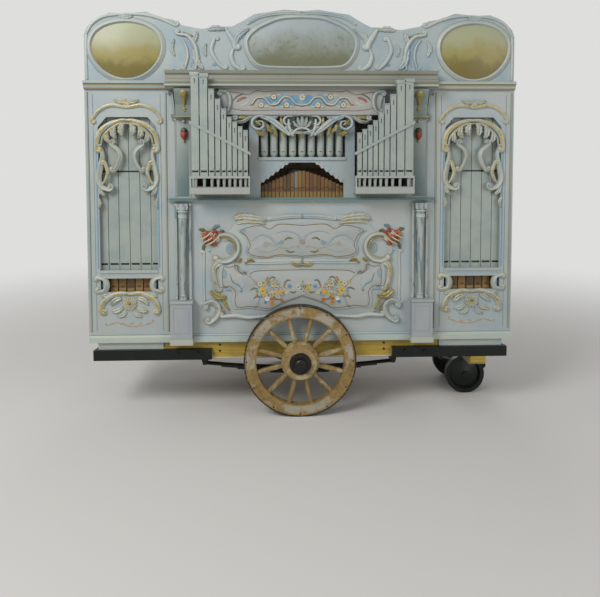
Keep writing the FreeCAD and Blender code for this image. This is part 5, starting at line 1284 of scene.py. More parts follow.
    def flowers(self) -> None:
        """Paint tendrils, leaves, flowers and small blossoms on both plates."""
        relief = carve(
            Relief("plate_flowers"), PLATE_FACE,
            *(Stroke(points, width, 2.2, 0, tint, thin=0.4, tail=tail) for points, width, tint, tail in (
                (((-388, 1001), (-340, 950), (-286, 880), (-255, 832), (-240, 800)), 5, LEAF_GREEN, None),
                (((-183, 935), (-230, 905), (-286, 880), (-326, 776)), 4, LEAF_GREEN, None),
                (((-110, 900), (-151, 919), (-210, 900), (-260, 880)), 4, LEAF_GREEN, None),
                (((-520, 1010), (-499, 954), (-460, 930), (-436, 897)), 12, TEAL, Curl(-1, 13)),
                (((-440, 985), (-420, 960), (-425, 930), (-450, 905)), 10, rgb(150, 168, 176), Curl(-1, 11)),
                (((-360, 1250), (-300, 1290), (-230, 1272), (-190, 1228)), 16, rgb(134, 150, 156), Curl(1, 16)),
                (((-340, 1196), (-270, 1170), (-200, 1186), (-140, 1230)), 14, rgb(146, 156, 154), Curl(1, 15)),
                (((-196, 1300), (-130, 1318), (-60, 1306), (-20, 1280)), 13, rgb(140, 152, 158), Curl(-1, 13)),
                (((-250, 1236), (-180, 1206), (-110, 1196), (-40, 1210)), 12, rgb(150, 150, 134), Curl(-1, 12)))))
        for points in (((-388, 1001), (-412, 1020), (-430, 1024)), ((-320, 900), (-350, 905), (-380, 890)),
                       ((-300, 840), (-330, 846), (-352, 830)), ((-326, 776), (-338, 768), (-352, 768)),
                       ((-210, 850), (-190, 826), (-160, 822)), ((-130, 940), (-110, 960), (-84, 962)),
                       ((-120, 1180), (-90, 1166), (-54, 1170)), ((-130, 1250), (-100, 1268), (-66, 1262)),
                       ((-240, 975), (-215, 985), (-190, 976)), ((-90, 880), (-66, 872), (-44, 880))):
            relief.leaf(points, 15, 3.2, PLATE_FACE, 3, LEAF_GREEN)
        for bloom in (
                Bloom((-286, 886), 30, YELLOW, rgb(96, 66, 40), 6), Bloom((-159, 879), 24, rgb(196, 150, 70)),
                Bloom((-238, 934), 19, BLUE, rgb(60, 56, 60), 6), Bloom((-151, 926), 22, WHITE),
                Bloom((-252, 832), 20, rgb(208, 214, 220), BLUE), Bloom((-196, 948), 16, YELLOW, RED, 6),
                Bloom((-340, 948), 14, rgb(176, 152, 112), CREAM, 5),
                Bloom((-92, 918), 17, BLUE, rgb(60, 56, 60)), Bloom((-388, 1003), 13, WHITE),
                Bloom((-324, 786), 11, PINK), Bloom((-262, 1226), 20, PINK, rgb(150, 130, 96)),
                Bloom((-150, 1236), 15, rgb(126, 146, 160), CREAM, 6)):
            bloom.carve(relief, PLATE_FACE, 5.0)
        self.bouquet(relief, (-222, 884), (122, 88), 54)
        relief.mirrored()
        Bloom((0, 1240), 22, rgb(150, 134, 126), CREAM, 7).carve(relief, PLATE_FACE, 5.0)
        self.bouquet(relief, (0.0, 905), (46, 34), 12)
        self.add(relief, BRUSHWORK)

    def bouquet(self, relief: Relief, middle: Point, half: Point, count: int) -> None:
        """Strew small blossoms and leaves over an ellipse.

        Each blossom lies at a random turn and at the square root of a random share of the ellipse,
        so that they lie evenly.

        Args:
            relief: The relief that takes them.
            middle: The ellipse's middle.
            half: Half its width and height.
            count: How many blossoms.
        """
        luck = np.random.default_rng(count)
        tints = (YELLOW, rgb(170, 132, 56), WHITE, BLUE, ORANGE, CREAM, rgb(96, 128, 160), YELLOW)
        for k in range(count):
            turn, out = luck.uniform(0.0, 2.0 * math.pi), math.sqrt(luck.uniform())
            way = np.array([math.cos(turn), math.sin(turn)])
            place = np.array(middle) + np.array(half) * out * way
            size = luck.uniform(9.0, 20.0)
            if k % 4 == 0:
                tip = place + 1.8 * size * way
                relief.leaf([place, 0.5 * (place + tip) + 3.0, tip], 12, 2.4, PLATE_FACE, 3, LEAF_GREEN)
            heart = rgb(74, 60, 48) if k % 3 else YELLOW
            relief.petals(place, size, 5 + k % 2, PLATE_FACE - 0.8, 4.5, tints[k % len(tints)], turn, heart)


@dataclass
class Frieze(Assembly):
    """The name board's border lines, vine and rosettes, its end scrolls, and the crest below."""

    borders: tuple[Run, ...] = (
        ((-509, 2302), (-440, 2294), (-378, 2284), (-316, 2312), (-270, 2304), (-162, 2310), (0, 2314)),
        ((-509, 2302), (-500, 2250), (-508, 2220), (-495, 2188), (-379, 2171), (-200, 2176), (0, 2172)))
    middle: float = 2240
    vine: Run = (
        (-352, 2220), (-318, 2260), (-266, 2258), (-224, 2216), (-176, 2220), (-134, 2264), (-86, 2262),
        (-44, 2220), (0, 2210))
    ground: float = NAME_FACE - 0.6
    crest_faces: tuple[float, float, float] = (-527, -530, -536)
    gilding_faces: tuple[float, float] = (-523, -524)

    def build(self) -> None:
        """Build the border, ornament, end scrolls and crest."""
        border = Relief("name_board_border")
        for run in self.borders:
            for shift, width, tint in ((0.0, 5.0, LINE), (9.0, 2.2, GOLD)):
                line = spline([(x + shift * 0.6, z + (-shift if z > self.middle else shift)) for x, z in run])
                border.sweep(line, width, 0.9, NAME_FACE, FLAT, tint, 4)
        for tint, width, rise, shift in ((LINE, 17, 2.5, 3.0), (CREAM, 12, 8.0, 0.0)):
            run = tuple((x + shift, z - shift) for x, z in self.vine)
            Stroke(run, width, rise, 0, tint, thin=0.8).carve(border, self.ground)
        for x, z, up in ((-290, 2212, 1), (-200, 2268, -1), (-110, 2212, 1)):
            border.petals((x, z), 24, 6, self.ground, 6.0, LINE, 0.3)
            border.petals((x, z), 20, 6, NAME_FACE - 2.0, 7.0, CREAM, 0.3, ORANGE)
            for side in (-1, 1):
                run = [(x + 16 * side, z - 6 * up), (x + 36 * side, z - 14 * up), (x + 54 * side, z - 8 * up)]
                border.leaf(run, 17, 5, self.ground, 3, CREAM)
        carve(border, NAME_FACE,
              Stroke(((-462, 2232), (-426, 2256), (-388, 2262)), 22, 4, 2, rgb(142, 88, 80)),
              Stroke(((-486, 2240), (-458, 2270), (-410, 2290)), 13, 3, 6, rgb(84, 90, 82)),
              Stroke(((-440, 2206), (-402, 2218), (-366, 2244)), 13, 3, 6, rgb(176, 184, 178)),
              Stroke(((-372, 2208), (-352, 2214), (-336, 2210)), 10, 3, 2, rgb(142, 88, 80)))
        border.mirrored()
        border.petals((0, 2266), 24, 8, self.ground, 8.0, CREAM, 0.2, ORANGE)
        self.add(border, BRUSHWORK)
        sky = Relief("name_board_sky")
        for x, z, half, high in ((-40, 2244, 96, 46), (-150, 2258, 84, 38), (-250, 2240, 60, 30), (-110, 2216, 80, 30)):
            sky.dome((x, z), half, high, NAME_FACE + 0.3, 0.8)
        self.add(sky.mirrored(), NAME_SKY)
        ends = carve(
            Relief("name_board_ends"), NAME_FACE,
            Stroke(((-566, 2302), (-532, 2296), (-512, 2262), (-512, 2214), (-530, 2172), (-552, 2160)), 38, 24,
                   head=Curl(1, 17), tail=Curl(-1, 15), section=SCOOP, crest=0.5),
            Stroke(((-571, 2276), (-556, 2236), (-552, 2190)), 18, 12, 3),
            Stroke(((-480, 2160), (-440, 2154), (-400, 2158)), 16, 8, 3))
        self.add(ends.mirrored(), CARVED_PALE)
        self.crest()

    def crest(self) -> None:
        """Carve the pierced scrollwork that hangs under the name board."""
        relief = carve(
            Relief("crest_scrolls"), self.crest_faces[0],
            Stroke(((-494, 2137), (-300, 2139), (-120, 2139), (0, 2139)), 14, 12, thin=0.8, section=REED),
            Stroke(((-490, 2110), (-460, 2094), (-414, 2098), (-366, 2126), (-310, 2136)), 26, 18, thin=0.5,
                   section=SCOOP),
            Stroke(((-232, 2106), (-262, 2132), (-312, 2134), (-350, 2106), (-350, 2066), (-312, 2042), (-276, 2060),
                    (-278, 2092), (-304, 2100)), 22, 22, thin=0.5),
            Stroke(((-286, 2130), (-226, 2112), (-166, 2068), (-92, 2008)), 46, 20, thin=0.5, section=REED),
            Stroke(((-236, 2132), (-204, 2122), (-172, 2130)), 28, 18, 4),
            Stroke(((-70, 2134), (-108, 2132), (-130, 2104), (-112, 2074), (-84, 2080)), 18, 20, thin=0.6),
            Stroke(((-96, 2108), (-94, 2066), (-78, 2022), (-64, 1998)), 24, 20, thin=0.6),
            Stroke(((-72, 2004), (-40, 2040), (0, 2052)), 20, 20, thin=0.8),
            Stroke(((-112, 2056), (-60, 2024), (0, 2014)), 22, 22, thin=0.8, section=REED),
            Stroke(((-8, 2060), (-26, 2092), (-34, 2130)), 27, 18, 4),
            Stroke(((-14, 2052), (-46, 2072), (-64, 2104)), 24, 16, 3))
        relief.petals((-472, 2124), 20, 5, self.crest_faces[2], 8, WHITE, 0.4)
        fan = Stroke(((0, 2056), (0, 2096), (0, 2136)), 30, 20, 4)
        fan.carve(relief.mirrored(), self.crest_faces[1])
        self.add(relief, CARVED_PALE, replaces=("carved_scrolls",))
        gilding = carve(
            Relief("crest_gilding"), self.gilding_faces[0],
            Stroke(((-456, 2120), (-419, 2126), (-384, 2116)), 30, 14),
            Stroke(((-330, 2056), (-300, 2014), (-256, 2006)), 36, 15, 4),
            Stroke(((-250, 2080), (-232, 2040), (-206, 2020)), 32, 13, 3),
            Stroke(((-200, 2064), (-188, 2012), (-180, 1984)), 28, 14, 3),
            Stroke(((-140, 2044), (-128, 2006), (-120, 1986)), 24, 13, 3),
            Stroke(((-330, 2100), (-312, 2088), (-294, 2072)), 26, 12),
            Stroke(((-150, 2120), (-146, 2096), (-136, 2070)), 26, 12),
            Stroke(((-62, 2000), (-56, 1986), (-58, 1976)), 18, 14, 2)).mirrored()
        Stroke(((0, 2030), (0, 2004), (0, 1980)), 30, 14, 3).carve(gilding, self.gilding_faces[1])
        self.add(gilding, CARVED_GOLD, replaces=("carved_scrolls",))


@dataclass
class Consoles(Assembly):
    """The drops on the consoles, the buds under them and the side brackets."""

    middle: float = -826
    face: float = -525
    foot: float = 2206
    slope: float = 0.478
    bud: tuple[float, float] = (-837, -502)
    bars: tuple[float, ...] = (-792, -800, -896, -904)

    def build(self) -> None:
        """Build drops, buds and brackets on both sides.

        A drop narrows as a power of its height, and leans forwards by the slope above its foot.
        """
        x, face = self.middle, self.face
        drop = Relief("console_drops").dome((x, 2280), 31, 34, face, 22, GOLD)
        width = 8 + 44 * np.linspace(1, 0, 12) ** 1.3
        drop.sweep(upright(x, *np.linspace(2274, 2190, 12)), width, np.linspace(19, 6, 12), face, tint=GOLD)
        drop.dome((x, 2186), 20, 9, face + 0.5, 9, GOLD).dome((x, 2169), 9, 9, face + 1.0, 9, GOLD)
        for points in drop.points:
            points[:, 1] -= self.slope * np.maximum(points[:, 2] - self.foot, 0.0)
        self.add(drop.mirrored(), CARVED_GOLD)
        bud = Relief("pendant_buds")
        for profile, tint in ((((2112, 1), (2106, 9), (2096, 10), (2088, 2)), WHITE),
                              (((2056, 3), (2050, 16), (2032, 24), (2020, 20)), rgb(70, 74, 52)),
                              (((2028, 17), (2014, 25), (1996, 23), (1978, 12), (1966, 5)), RED),
                              (((1972, 4), (1964, 8), (1953, 4), (1946, 0.5)), GOLD)):
            bud.turned(profile, *self.bud, tint)
        self.add(bud.mirrored(), BRUSHWORK)
        bracket = carve(
            Relief("side_brackets"), FRONT + 0.5,
            Stroke(((-934, 2300), (-918, 2290), (-912, 2240), (-906, 2190), (-904, 2150)), 22, 26,
                   head=Curl(1, 9), tail=Curl(-1, 13), section=SCOOP, crest=0.5),
            Stroke(((-928, 2150), (-922, 2120), (-908, 2098)), 18, 12, 3))
        for x in self.bars:
            bracket.sweep(upright(x, 1562, 1800, 2108), 5.0, 4.0, FRONT + 0.3, crest=0.3)
        self.add(bracket.mirrored(), CARVED_PALE)
        wash = Relief("strip_washes").plate(oblong(-890, -806, 1566, 2100), FRONT + 0.5, FRONT - 0.8, 0.3)
        self.add(wash.mirrored(), STRIP_WASH)


@dataclass
class WingCarvings(Assembly):
    """The shells, hanging scrolls, rosettes and painted tendrils of the side wings."""

    rosette: Point = (-WING_X, 800)
    rings: tuple[tuple[float, float, int], ...] = ((52, 0, 8), (38, 5, 8), (24, 9, 6))
    lines: tuple[tuple[float, float, float, float, Colour], ...] = (
        (-1024, 1050, 1996, 11, BLUE), (-1456, 1050, 1996, 11, BLUE),
        (-1003, 600, 2290, 3, LINE), (-1475, 600, 2290, 3, LINE))

    def build(self) -> None:
        """Build the carvings of one half wing and mirror them twice."""
        relief = carve(
            Relief("wing_carvings"), FRONT + 0.5,
            Stroke(((-1239, 2108), (-1190, 2104), (-1102, 2071), (-1041, 2009), (-1022, 1916)), 42, 22,
                   tail=Curl(-1, 24, 1.35)),
            Stroke(((-1239, 2086), (-1180, 2080), (-1116, 2040), (-1070, 1990), (-1056, 1930)), 21, 15, thin=0.5),
            Stroke(((-1210, 2092), (-1196, 2040), (-1206, 1996)), 54, 22, 4),
            Stroke(((-1150, 2070), (-1140, 2020), (-1160, 1976)), 54, 22, 4),
            Stroke(((-1096, 2030), (-1094, 1984), (-1116, 1948)), 48, 21, 4),
            Stroke(((-1135, 1930), (-1176, 1896), (-1190, 1854), (-1176, 1800), (-1153, 1761)), 35, 20,
                   head=Curl(1, 24, 1.35), tail=Curl(1, 24, 1.35), section=SCOOP),
            Stroke(((-1046, 1930), (-1064, 1860), (-1046, 1770), (-1034, 1690), (-1058, 1636), (-1092, 1620)), 42, 21,
                   tail=Curl(-1, 29, 1.35), section=SCOOP),
            Stroke(((-1083, 1800), (-1100, 1742), (-1084, 1690), (-1064, 1660)), 29, 16, head=Curl(-1, 21, 1.35)),
            Stroke(((-1034, 1640), (-1050, 1600), (-1079, 1574)), 38, 16, 3),
            Stroke(((-1028, 1560), (-1040, 1520), (-1030, 1480)), 29, 12, 3),
            Stroke(((-1024, 990), (-1060, 978), (-1078, 934), (-1062, 890), (-1026, 880)), 42, 22,
                   head=Curl(-1, 24, 1.35), tail=Curl(1, 24, 1.35), section=SCOOP),
            Stroke(((-1239, 868), (-1170, 872), (-1100, 850), (-1050, 806), (-1034, 760)), 42, 20,
                   tail=Curl(-1, 27, 1.35)),
            Stroke(((-1180, 840), (-1140, 826), (-1104, 790)), 54, 20, 4),
            Stroke(((-1190, 772), (-1150, 748), (-1110, 742)), 48, 18, 4),
            Stroke(((-1100, 846), (-1066, 858), (-1040, 850)), 38, 16, 3),
            Stroke(((-1216, 742), (-1190, 716), (-1150, 704)), 38, 15, 3),
            Stroke(((-964, 2300), (-966, 1500), (-964, 600)), 14, 8, thin=0.9, crest=0.15),
            Stroke(((-1224, 2200), (-1130, 2214), (-1050, 2180), (-1000, 2120)), 32, 15, head=Curl(-1, 24, 1.35),
                   tail=Curl(-1, 22, 1.35)),
            Stroke(((-1239, 2250), (-1200, 2236), (-1150, 2250)), 45, 16, 4))
        for radius, lift, count in self.rings:
            relief.petals(self.rosette, radius, count, FRONT - lift, 14, WHITE, 0.2 + 0.3 * lift)
        relief.dome(self.rosette, 12, 12, FRONT - 18, 8)
        relief.mirrored(-WING_X).mirrored()
        self.add(relief, CARVED, replaces=("carved_scrolls",))
        paint = Relief("wing_brushwork")
        for x, low, high, width, tint in self.lines:
            paint.sweep(upright(x, low, 0.5 * (low + high), high), width, 0.8, FRONT, FLAT, tint, 4)
        carve(paint, FRONT,
              Stroke(((-1400, 640), (-1330, 660), (-1239, 632), (-1149, 638), (-1080, 660)), 6, 1.4, 0,
                     rgb(160, 124, 72), head=Curl(-1, 13), tail=Curl(1, 13)),
              *(Stroke(((x, 642), (x + 14, 654), (x + 30, 652)), 12, 1.6, 3, rgb(170, 140, 84))
                for x in (-1380, -1310, -1240, -1180, -1120)))
        for side in (-1, 1):
            paint.dome((-WING_X + 178 * side, 932), 13, 34, FRONT - 1, 3, BLUE)
        self.add(paint.mirrored(), BRUSHWORK)


@dataclass
class Attic(Assembly):
    """The painted fields over the cornice with their frames, ear scrolls and leaves."""

    picture: Run = (
        (0, 2844), (-120, 2838), (-210, 2814), (-318, 2762), (-384, 2700), (-397, 2640), (-382, 2580),
        (-345, 2520), (-300, 2488), (-238, 2478), (-120, 2474), (0, 2474))
    picture_middle: Point = (0, 2656)
    oval_middle: Point = (-WING_X, 2612)
    oval_half: Point = (262, 212)
    oval_swell: float = 14
    inset: float = 0.985
    moulding: Point = (40, 20)

    def painted(self, name: str, outline: Array, middle: Point) -> Relief:
        """Give a painted field: its frame's outline drawn in towards the middle, as a thin board."""
        inner = (outline - middle) * self.inset + middle
        return Relief(name).plate(inner, ATTIC_FACE + 0.5, ATTIC_FACE - 3.0, 1.0)

    def build(self) -> None:
        """Build the fields, the frames and the carved scrolls."""
        ring = np.linspace(0.0, 2.0 * math.pi, 40, endpoint=False)
        (x, z), (half, high) = self.oval_middle, self.oval_half
        oval = np.stack([x + half * np.cos(ring),
                         z + high * np.sin(ring) + self.oval_swell * np.cos(2 * ring)], 1)
        centre = both_halves(spline(self.picture, 4))
        picture = self.painted("attic_picture", centre, self.picture_middle)
        self.add(picture, FIELD, replaces=("attic_frames",))
        ovals = self.painted("attic_ovals", oval, self.oval_middle).mirrored()
        self.add(ovals, OVAL_FIELD, replaces=("attic_frames",))
        frames = Relief("attic_mouldings")
        frames.sweep(oval, *self.moulding, ATTIC_FACE, SCOOP, closed=True)
        carve(frames, ATTIC_FACE,
              Stroke(((-868, 2712), (-806, 2700), (-758, 2640), (-740, 2560), (-750, 2470)), 30, 20,
                     head=Curl(-1, 20, 1.2), crest=0.6),
              Stroke(((-850, 2680), (-818, 2630), (-806, 2560), (-822, 2490)), 20, 14,
                     tail=Curl(-1, 20, 1.3), crest=0.6),
              Stroke(((-880, 2452), (-846, 2474), (-812, 2452)), 30, 13, 3),
              Stroke(((-700, 2470), (-740, 2520), (-752, 2580), (-764, 2617)), 58, 20, 5),
              Stroke(((-770, 2640), (-752, 2690), (-737, 2730)), 41, 17, 4),
              Stroke(((-664, 2744), (-610, 2756), (-535, 2749)), 49, 18, 4),
              Stroke(((-535, 2745), (-510, 2706), (-480, 2660), (-473, 2634)), 44, 18, tail=Curl(1, 20, 1.35)),
              Stroke(((-465, 2625), (-462, 2680), (-424, 2722), (-371, 2756)), 49, 18, 5),
              Stroke(((-440, 2470), (-480, 2500), (-500, 2560), (-486, 2610)), 38, 16, head=Curl(1, 22, 1.35)),
              Stroke(((-560, 2480), (-600, 2520), (-640, 2600), (-620, 2680)), 32, 14,
                     head=Curl(1, 20, 1.35), tail=Curl(-1, 20, 1.35)),
              Stroke(((-380, 2790), (-300, 2836), (-180, 2862), (0, 2868)), 29, 14, thin=0.6, section=REED),
              Stroke(((-1239, 2852), (-1100, 2846), (-990, 2818), (-900, 2776)), 26, 12, thin=0.5,
                     tail=Curl(1, 22, 1.35)),
              Stroke(((-1239, 2850), (-1380, 2836), (-1470, 2784), (-1514, 2712)), 26, 12, thin=0.5),
              Stroke(((-1514, 2700), (-1518, 2560), (-1514, 2400)), 20, 9, thin=0.8),
              Stroke(((-1290, 2840), (-1239, 2828), (-1188, 2840)), 44, 14, 4),
              Stroke(((-980, 2470), (-940, 2440), (-900, 2470)), 38, 15, 4),
              Stroke(((-900, 2560), (-920, 2620), (-900, 2680)), 35, 14, 4),
              Stroke(((-680, 2560), (-690, 2610), (-676, 2650)), 35, 14, 4))
        frames.mirrored().sweep(centre, *self.moulding, ATTIC_FACE, SCOOP, closed=True)
        carve(frames, ATTIC_FACE, Stroke(((-70, 2840), (0, 2856), (70, 2840)), 30, 14, 5))
        self.add(frames, CARVED_PALE, replaces=("attic_frames",))
        washes = carve(
            Relief("attic_washes"), ATTIC_FACE + 0.3,
            Stroke(((-830, 2672), (-786, 2620), (-774, 2540), (-786, 2490)), 30, 2.5, 0, rgb(126, 146, 166), thin=0.5),
            Stroke(((-440, 2720), (-418, 2700), (-408, 2672)), 22, 2.5, 0, rgb(126, 146, 166), thin=0.5),
            Stroke(((-838, 2728), (-800, 2712), (-752, 2694)), 11, 9, 0, rgb(120, 110, 68), thin=0.5),
            Stroke(((-470, 2656), (-452, 2634), (-446, 2610)), 14, 6, 0, rgb(158, 140, 82), thin=0.5))
        washes.dome((-619, 2502), 20, 15, ATTIC_FACE + 0.3, 1.2, rgb(108, 142, 166))
        self.add(washes.mirrored(), BRUSHWORK)


@dataclass
class Pipes(Assembly):
    """The round pipes in the niche, the brown flutes, the fittings of the square pipes, and painted shade in the pipes'
    mouths and slots.
    """

    steps: tuple[float, ...] = (0, 0.12, 1.65, 2.8, 4.05, 5.3, 6.13, 6.96, 7.7)
    shares: tuple[float, ...] = (1, 0.96, 0.38, 0.22, 0.16, 0.05, 0.05, 0.05, 0)
    # Near-black painted shade for the round pipes' mouths and the square pipes' tuning slots.
    opening_shade: Colour = rgb(48, 46, 44)
    round_count: int = 9
    round_pitch: float = 2.0 * 311 / 9.0 - 2.0
    round_radius: float = 25.8
    round_axis: float = -468
    outer_edge: float = 766
    square_axis: float = -622
    square_face: float = -640
    flute_count: int = 22
    flute_pitch: float = 27.36
    flute_face: float = -444.5
    wing_count: int = 7
    wing_pitch: float = 60.1
    wing_face: float = -452.5
    stains: tuple[Colour, ...] = (rgb(106, 78, 30), rgb(86, 60, 24), rgb(118, 90, 36), rgb(72, 50, 22),
                                  rgb(108, 70, 28))
    lip: Colour = rgb(128, 102, 52)
    # Darker painted shade for the flutes' mouths.
    flute_mouth_shade: Colour = rgb(28, 22, 18)

    def build(self) -> None:
        """Build the pipes, the flutes and the fittings."""
        # One relief takes the painted shade of mouths and slots, and small dark dots along the arch's steps.
        shade_and_dots, feet = Relief("pipe_painted_shade_and_dots"), Relief("pipe_feet")
        self.round_pipes(shade_and_dots)
        self.flutes()
        for side, length in ((-1.0, 1.0), (1.0, 2.0 ** (-1.0 / 12))):
            self.square_pipes(side, length, feet, shade_and_dots)
        for step in range(6):
            for half in (-1.0, 1.0):
                x, z = half * (298 - 34 * step), 1658 + 25 * step
                feet.dome((x - half * 3.0, z + 22), 4.5, 4.5, FRONT, 4.5)
                shade_and_dots.dome((x - half * 17, z - 12), 2.6, 2.6, FRONT, 1.2, rgb(60, 44, 30))
        self.add(feet, PIPE_PAINT, slot="pipe_white")
        self.add(shade_and_dots, BRUSHWORK, slot="pipe_white")

    def round_pipes(self, shade_and_dots: Relief) -> None:
        """Turn the niche's round pipes and set a disc of painted shade on each one's mouth.

        Args:
            shade_and_dots: The relief that takes the painted shade of the mouths.
        """
        rounds, radius, y = Relief("round_pipe_tubes"), self.round_radius, self.round_axis
        for x in self.round_pitch * (np.arange(self.round_count) - 0.5 * (self.round_count - 1)):
            rounds.turned([(1846.3, 14), (1847, 17), (1862, 24), (1868, radius)], x, y)
            rounds.turned([(1868, radius), (2138.5, radius)], x, y, spokes=28)
            shade_and_dots.dome((x, 1884), 11, 4, -493.4, 0.9, self.opening_shade)
        self.add(rounds, PIPE_PAINT, slot="pipe_white", replaces=("round_pipes",), sharp=50)

    def square_pipes(self, side: float, length: float, feet: Relief, shade_and_dots: Relief) -> None:
        """Set the foot, lip and rim of each square pipe of one side, with painted shade for its tuning slot.

        A pipe's length is 708 mm times 0.9 for each step of its pitch, and its width grows by its
        share of 24 mm.

        Args:
            side: -1 for the left chest and 1 for the right one.
            length: The side's lengths as a share of the left side's.
            feet: The relief that takes the feet, lips and rims.
            shade_and_dots: The relief that takes the painted shade of the slots.
        """
        edge, face = self.outer_edge, self.square_face
        for step, share in zip(self.steps, self.shares):
            wide = 29 + 24 * share
            x, top = side * (edge - wide / 2.0), 1714 + 708 * 0.9 ** step * length
            edge -= wide + 7.0
            feet.turned([(1638.2, 9.4), (1650, 9.6), (1697.5, 12.6)], x, self.square_axis, spokes=16)
            lip = wide / 2.0 - 6.0
            feet.plate(oblong(x - lip, x + lip, 1752.5, 1770), face + 0.5, face - 3.0, 1.2)
            rim, low = (wide / 2.0 + 7.0, top - 26) if step < 1.0 else (wide / 2.0 + 1.6, top - 5.0)
            feet.plate(oblong(x - rim, x + rim, low, top + 1.5), -602.5, face - 2.6, 1.2)
            shade_and_dots.dome((x, top - 62), 3.2, 14, face, 0.8, self.opening_shade)
            shade_and_dots.dome((x, top - 46), 5.0, 5.0, face, 1.0, self.opening_shade)

    def flutes(self) -> None:
        """Build the brown flutes of the niche and of both wings, each with its own stain and a patch of painted shade
        at its mouth.

        The tops in the niche follow a flat arch: 1 less the place from the middle to the power 1.3.
        """
        wood, luck = Relief("brown_flutes"), np.random.default_rng(22)

        def slab(x: float, half: float, low: float, high: float, back: float, face: float, tint: Colour) -> None:
            """Add an upright slab with eased edges."""
            wood.plate(oblong(x - half, x + half, low, high), back, face, 1.6, tint)

        for k in range(self.flute_count):
            place = k - 0.5 * (self.flute_count - 1)
            x, face = self.flute_pitch * place, self.flute_face
            top = 1634 + 116 * (1.0 - (abs(place) / 11) ** 1.3)
            stain = rgb(108, 110, 96) if k == 9 else self.stains[int(luck.integers(len(self.stains)))]
            slab(x, 12.2, 1541, top, -421.5, face, stain)
            slab(x, 11.4, 1541, 1597, face + 1.5, face - 1.5, self.lip)
            slab(x, 11.4, 1612 + 5.0 * (k % 3), 1624 + 5.0 * (k % 3), face + 1.5, face - 0.9, rgb(92, 44, 26))
            wood.dome((x, 1604), 8, 3.5, face, 1.0, self.flute_mouth_shade)
        for side in (-1, 1):
            for k in range(self.wing_count):
                x, face = side * WING_X + (k - 3) * self.wing_pitch, self.wing_face
                slab(x, 27, 873, 979.5, -413.5, face, self.stains[int(luck.integers(len(self.stains)))])
                slab(x, 25, 873, 900, face + 1.5, face - 1.5, self.lip)
                wood.dome((x, 917), 15, 5, face, 1.2, self.flute_mouth_shade)
        self.add(wood, FLUTE_STAIN, slot="pipe_brown", replaces=("brown_flute_pipes",))


@dataclass
class Columns(Assembly):
    """The rings of the marbled columns, and the painted lines of the pedestals and lower panel."""

    middle: Point = (-850, -526)
    rings: Run = (
        (829, 25), (857, 20), (1428, 33), (1455, 38))
    corner_beads: tuple[float, ...] = (-800, -900)
    bead_heights: tuple[float, ...] = (828, 1500)
    panel: Sides = (-784, -933, 578, 800)
    panel_face: float = -575

    def build(self) -> None:
        """Build the turned rings, the beads and the lines."""
        rings = Relief("column_rings")
        for z, radius in self.rings:
            profile = [(z, radius - 5), (z + 3, radius), (z + 9, radius), (z + 12, radius - 5)]
            rings.turned(profile, *self.middle, spokes=28)
        rings.turned([(1412, 29), (1420, 33), (1436, 29)], *self.middle, spokes=28)
        for x in self.corner_beads:
            for z in self.bead_heights:
                rings.turned([(z, 8), (z + 4, 11), (z + 12, 11), (z + 16, 8)], x, -507, spokes=12)
        self.add(rings.mirrored(), CARVED_PALE, slot="marble_paint")
        lines = Relief("pedestal_panels")
        left, right, low, high = self.panel
        for inset, width, tint in ((14, 4.0, rgb(150, 154, 166)), (22, 2.0, rgb(120, 130, 142))):
            box = oblong(left - inset, right + inset, low + inset, high - inset)
            for a, b in zip(box, np.roll(box, -1, 0)):
                lines.sweep(np.array([a, (a + b) / 2, b]), width, 0.9, self.panel_face, FLAT, tint, 4)
        for x in (-760, -746):
            lines.sweep(upright(x, 600, 1050, 1500), 3.0, 0.8, FRONT, FLAT, rgb(150, 164, 174), 4)
        self.add(lines.mirrored(), BRUSHWORK, slot="case_paint")


@dataclass
class Cart(Assembly):
    """The small irons of the cart: hub bolts, tyre bolts and the heads on the beams.

    A circle of bolts has a count, a first angle, its radius, a head's radius, its face and its rise.
    """

    circles: tuple[tuple[int, float, float, float, float, float], ...] = (
        (6, 0.26, 60, 7.0, -667.8, 5.0), (12, 0.0, 378, 6.0, -612.8, 3.0))
    beam_face: float = -469.8
    beam_half: float = 998

    def build(self) -> None:
        """Build the bolts of both big wheels and of the beams."""
        for body, back in (("front_wheel", False), ("rear_wheel", True)):
            bolts = Relief(f"{body}_bolts")
            for count, start, out, size, face, rise in self.circles:
                for angle in np.arange(count) * 2.0 * math.pi / count + start:
                    place = (HUB[0] + out * math.cos(angle), HUB[1] + out * math.sin(angle))
                    bolts.dome(place, size, size, face, rise)
            if back:
                half_turned(bolts, HUB[0])
            self.add(bolts, HUB_IRON, body=body, slot="iron")
        heads = Relief("beam_bolt_heads")
        for x in (-600, -350, 350, 600):
            for z in (440, 485):
                heads.dome((x, z), 9, 9, self.beam_face, 5)
        self.add(heads, BLACK_IRON, slot="iron")
        # A pale painted highlight along the beam's lower edge.
        line = Relief("beam_painted_highlight")
        path = np.array([(x, 391) for x in (-self.beam_half, 0.0, self.beam_half)])
        line.sweep(path, 6.0, 1.0, self.beam_face, FLAT, rgb(206, 202, 186), 4)
        self.add(line, BRUSHWORK, slot="cart_wood")


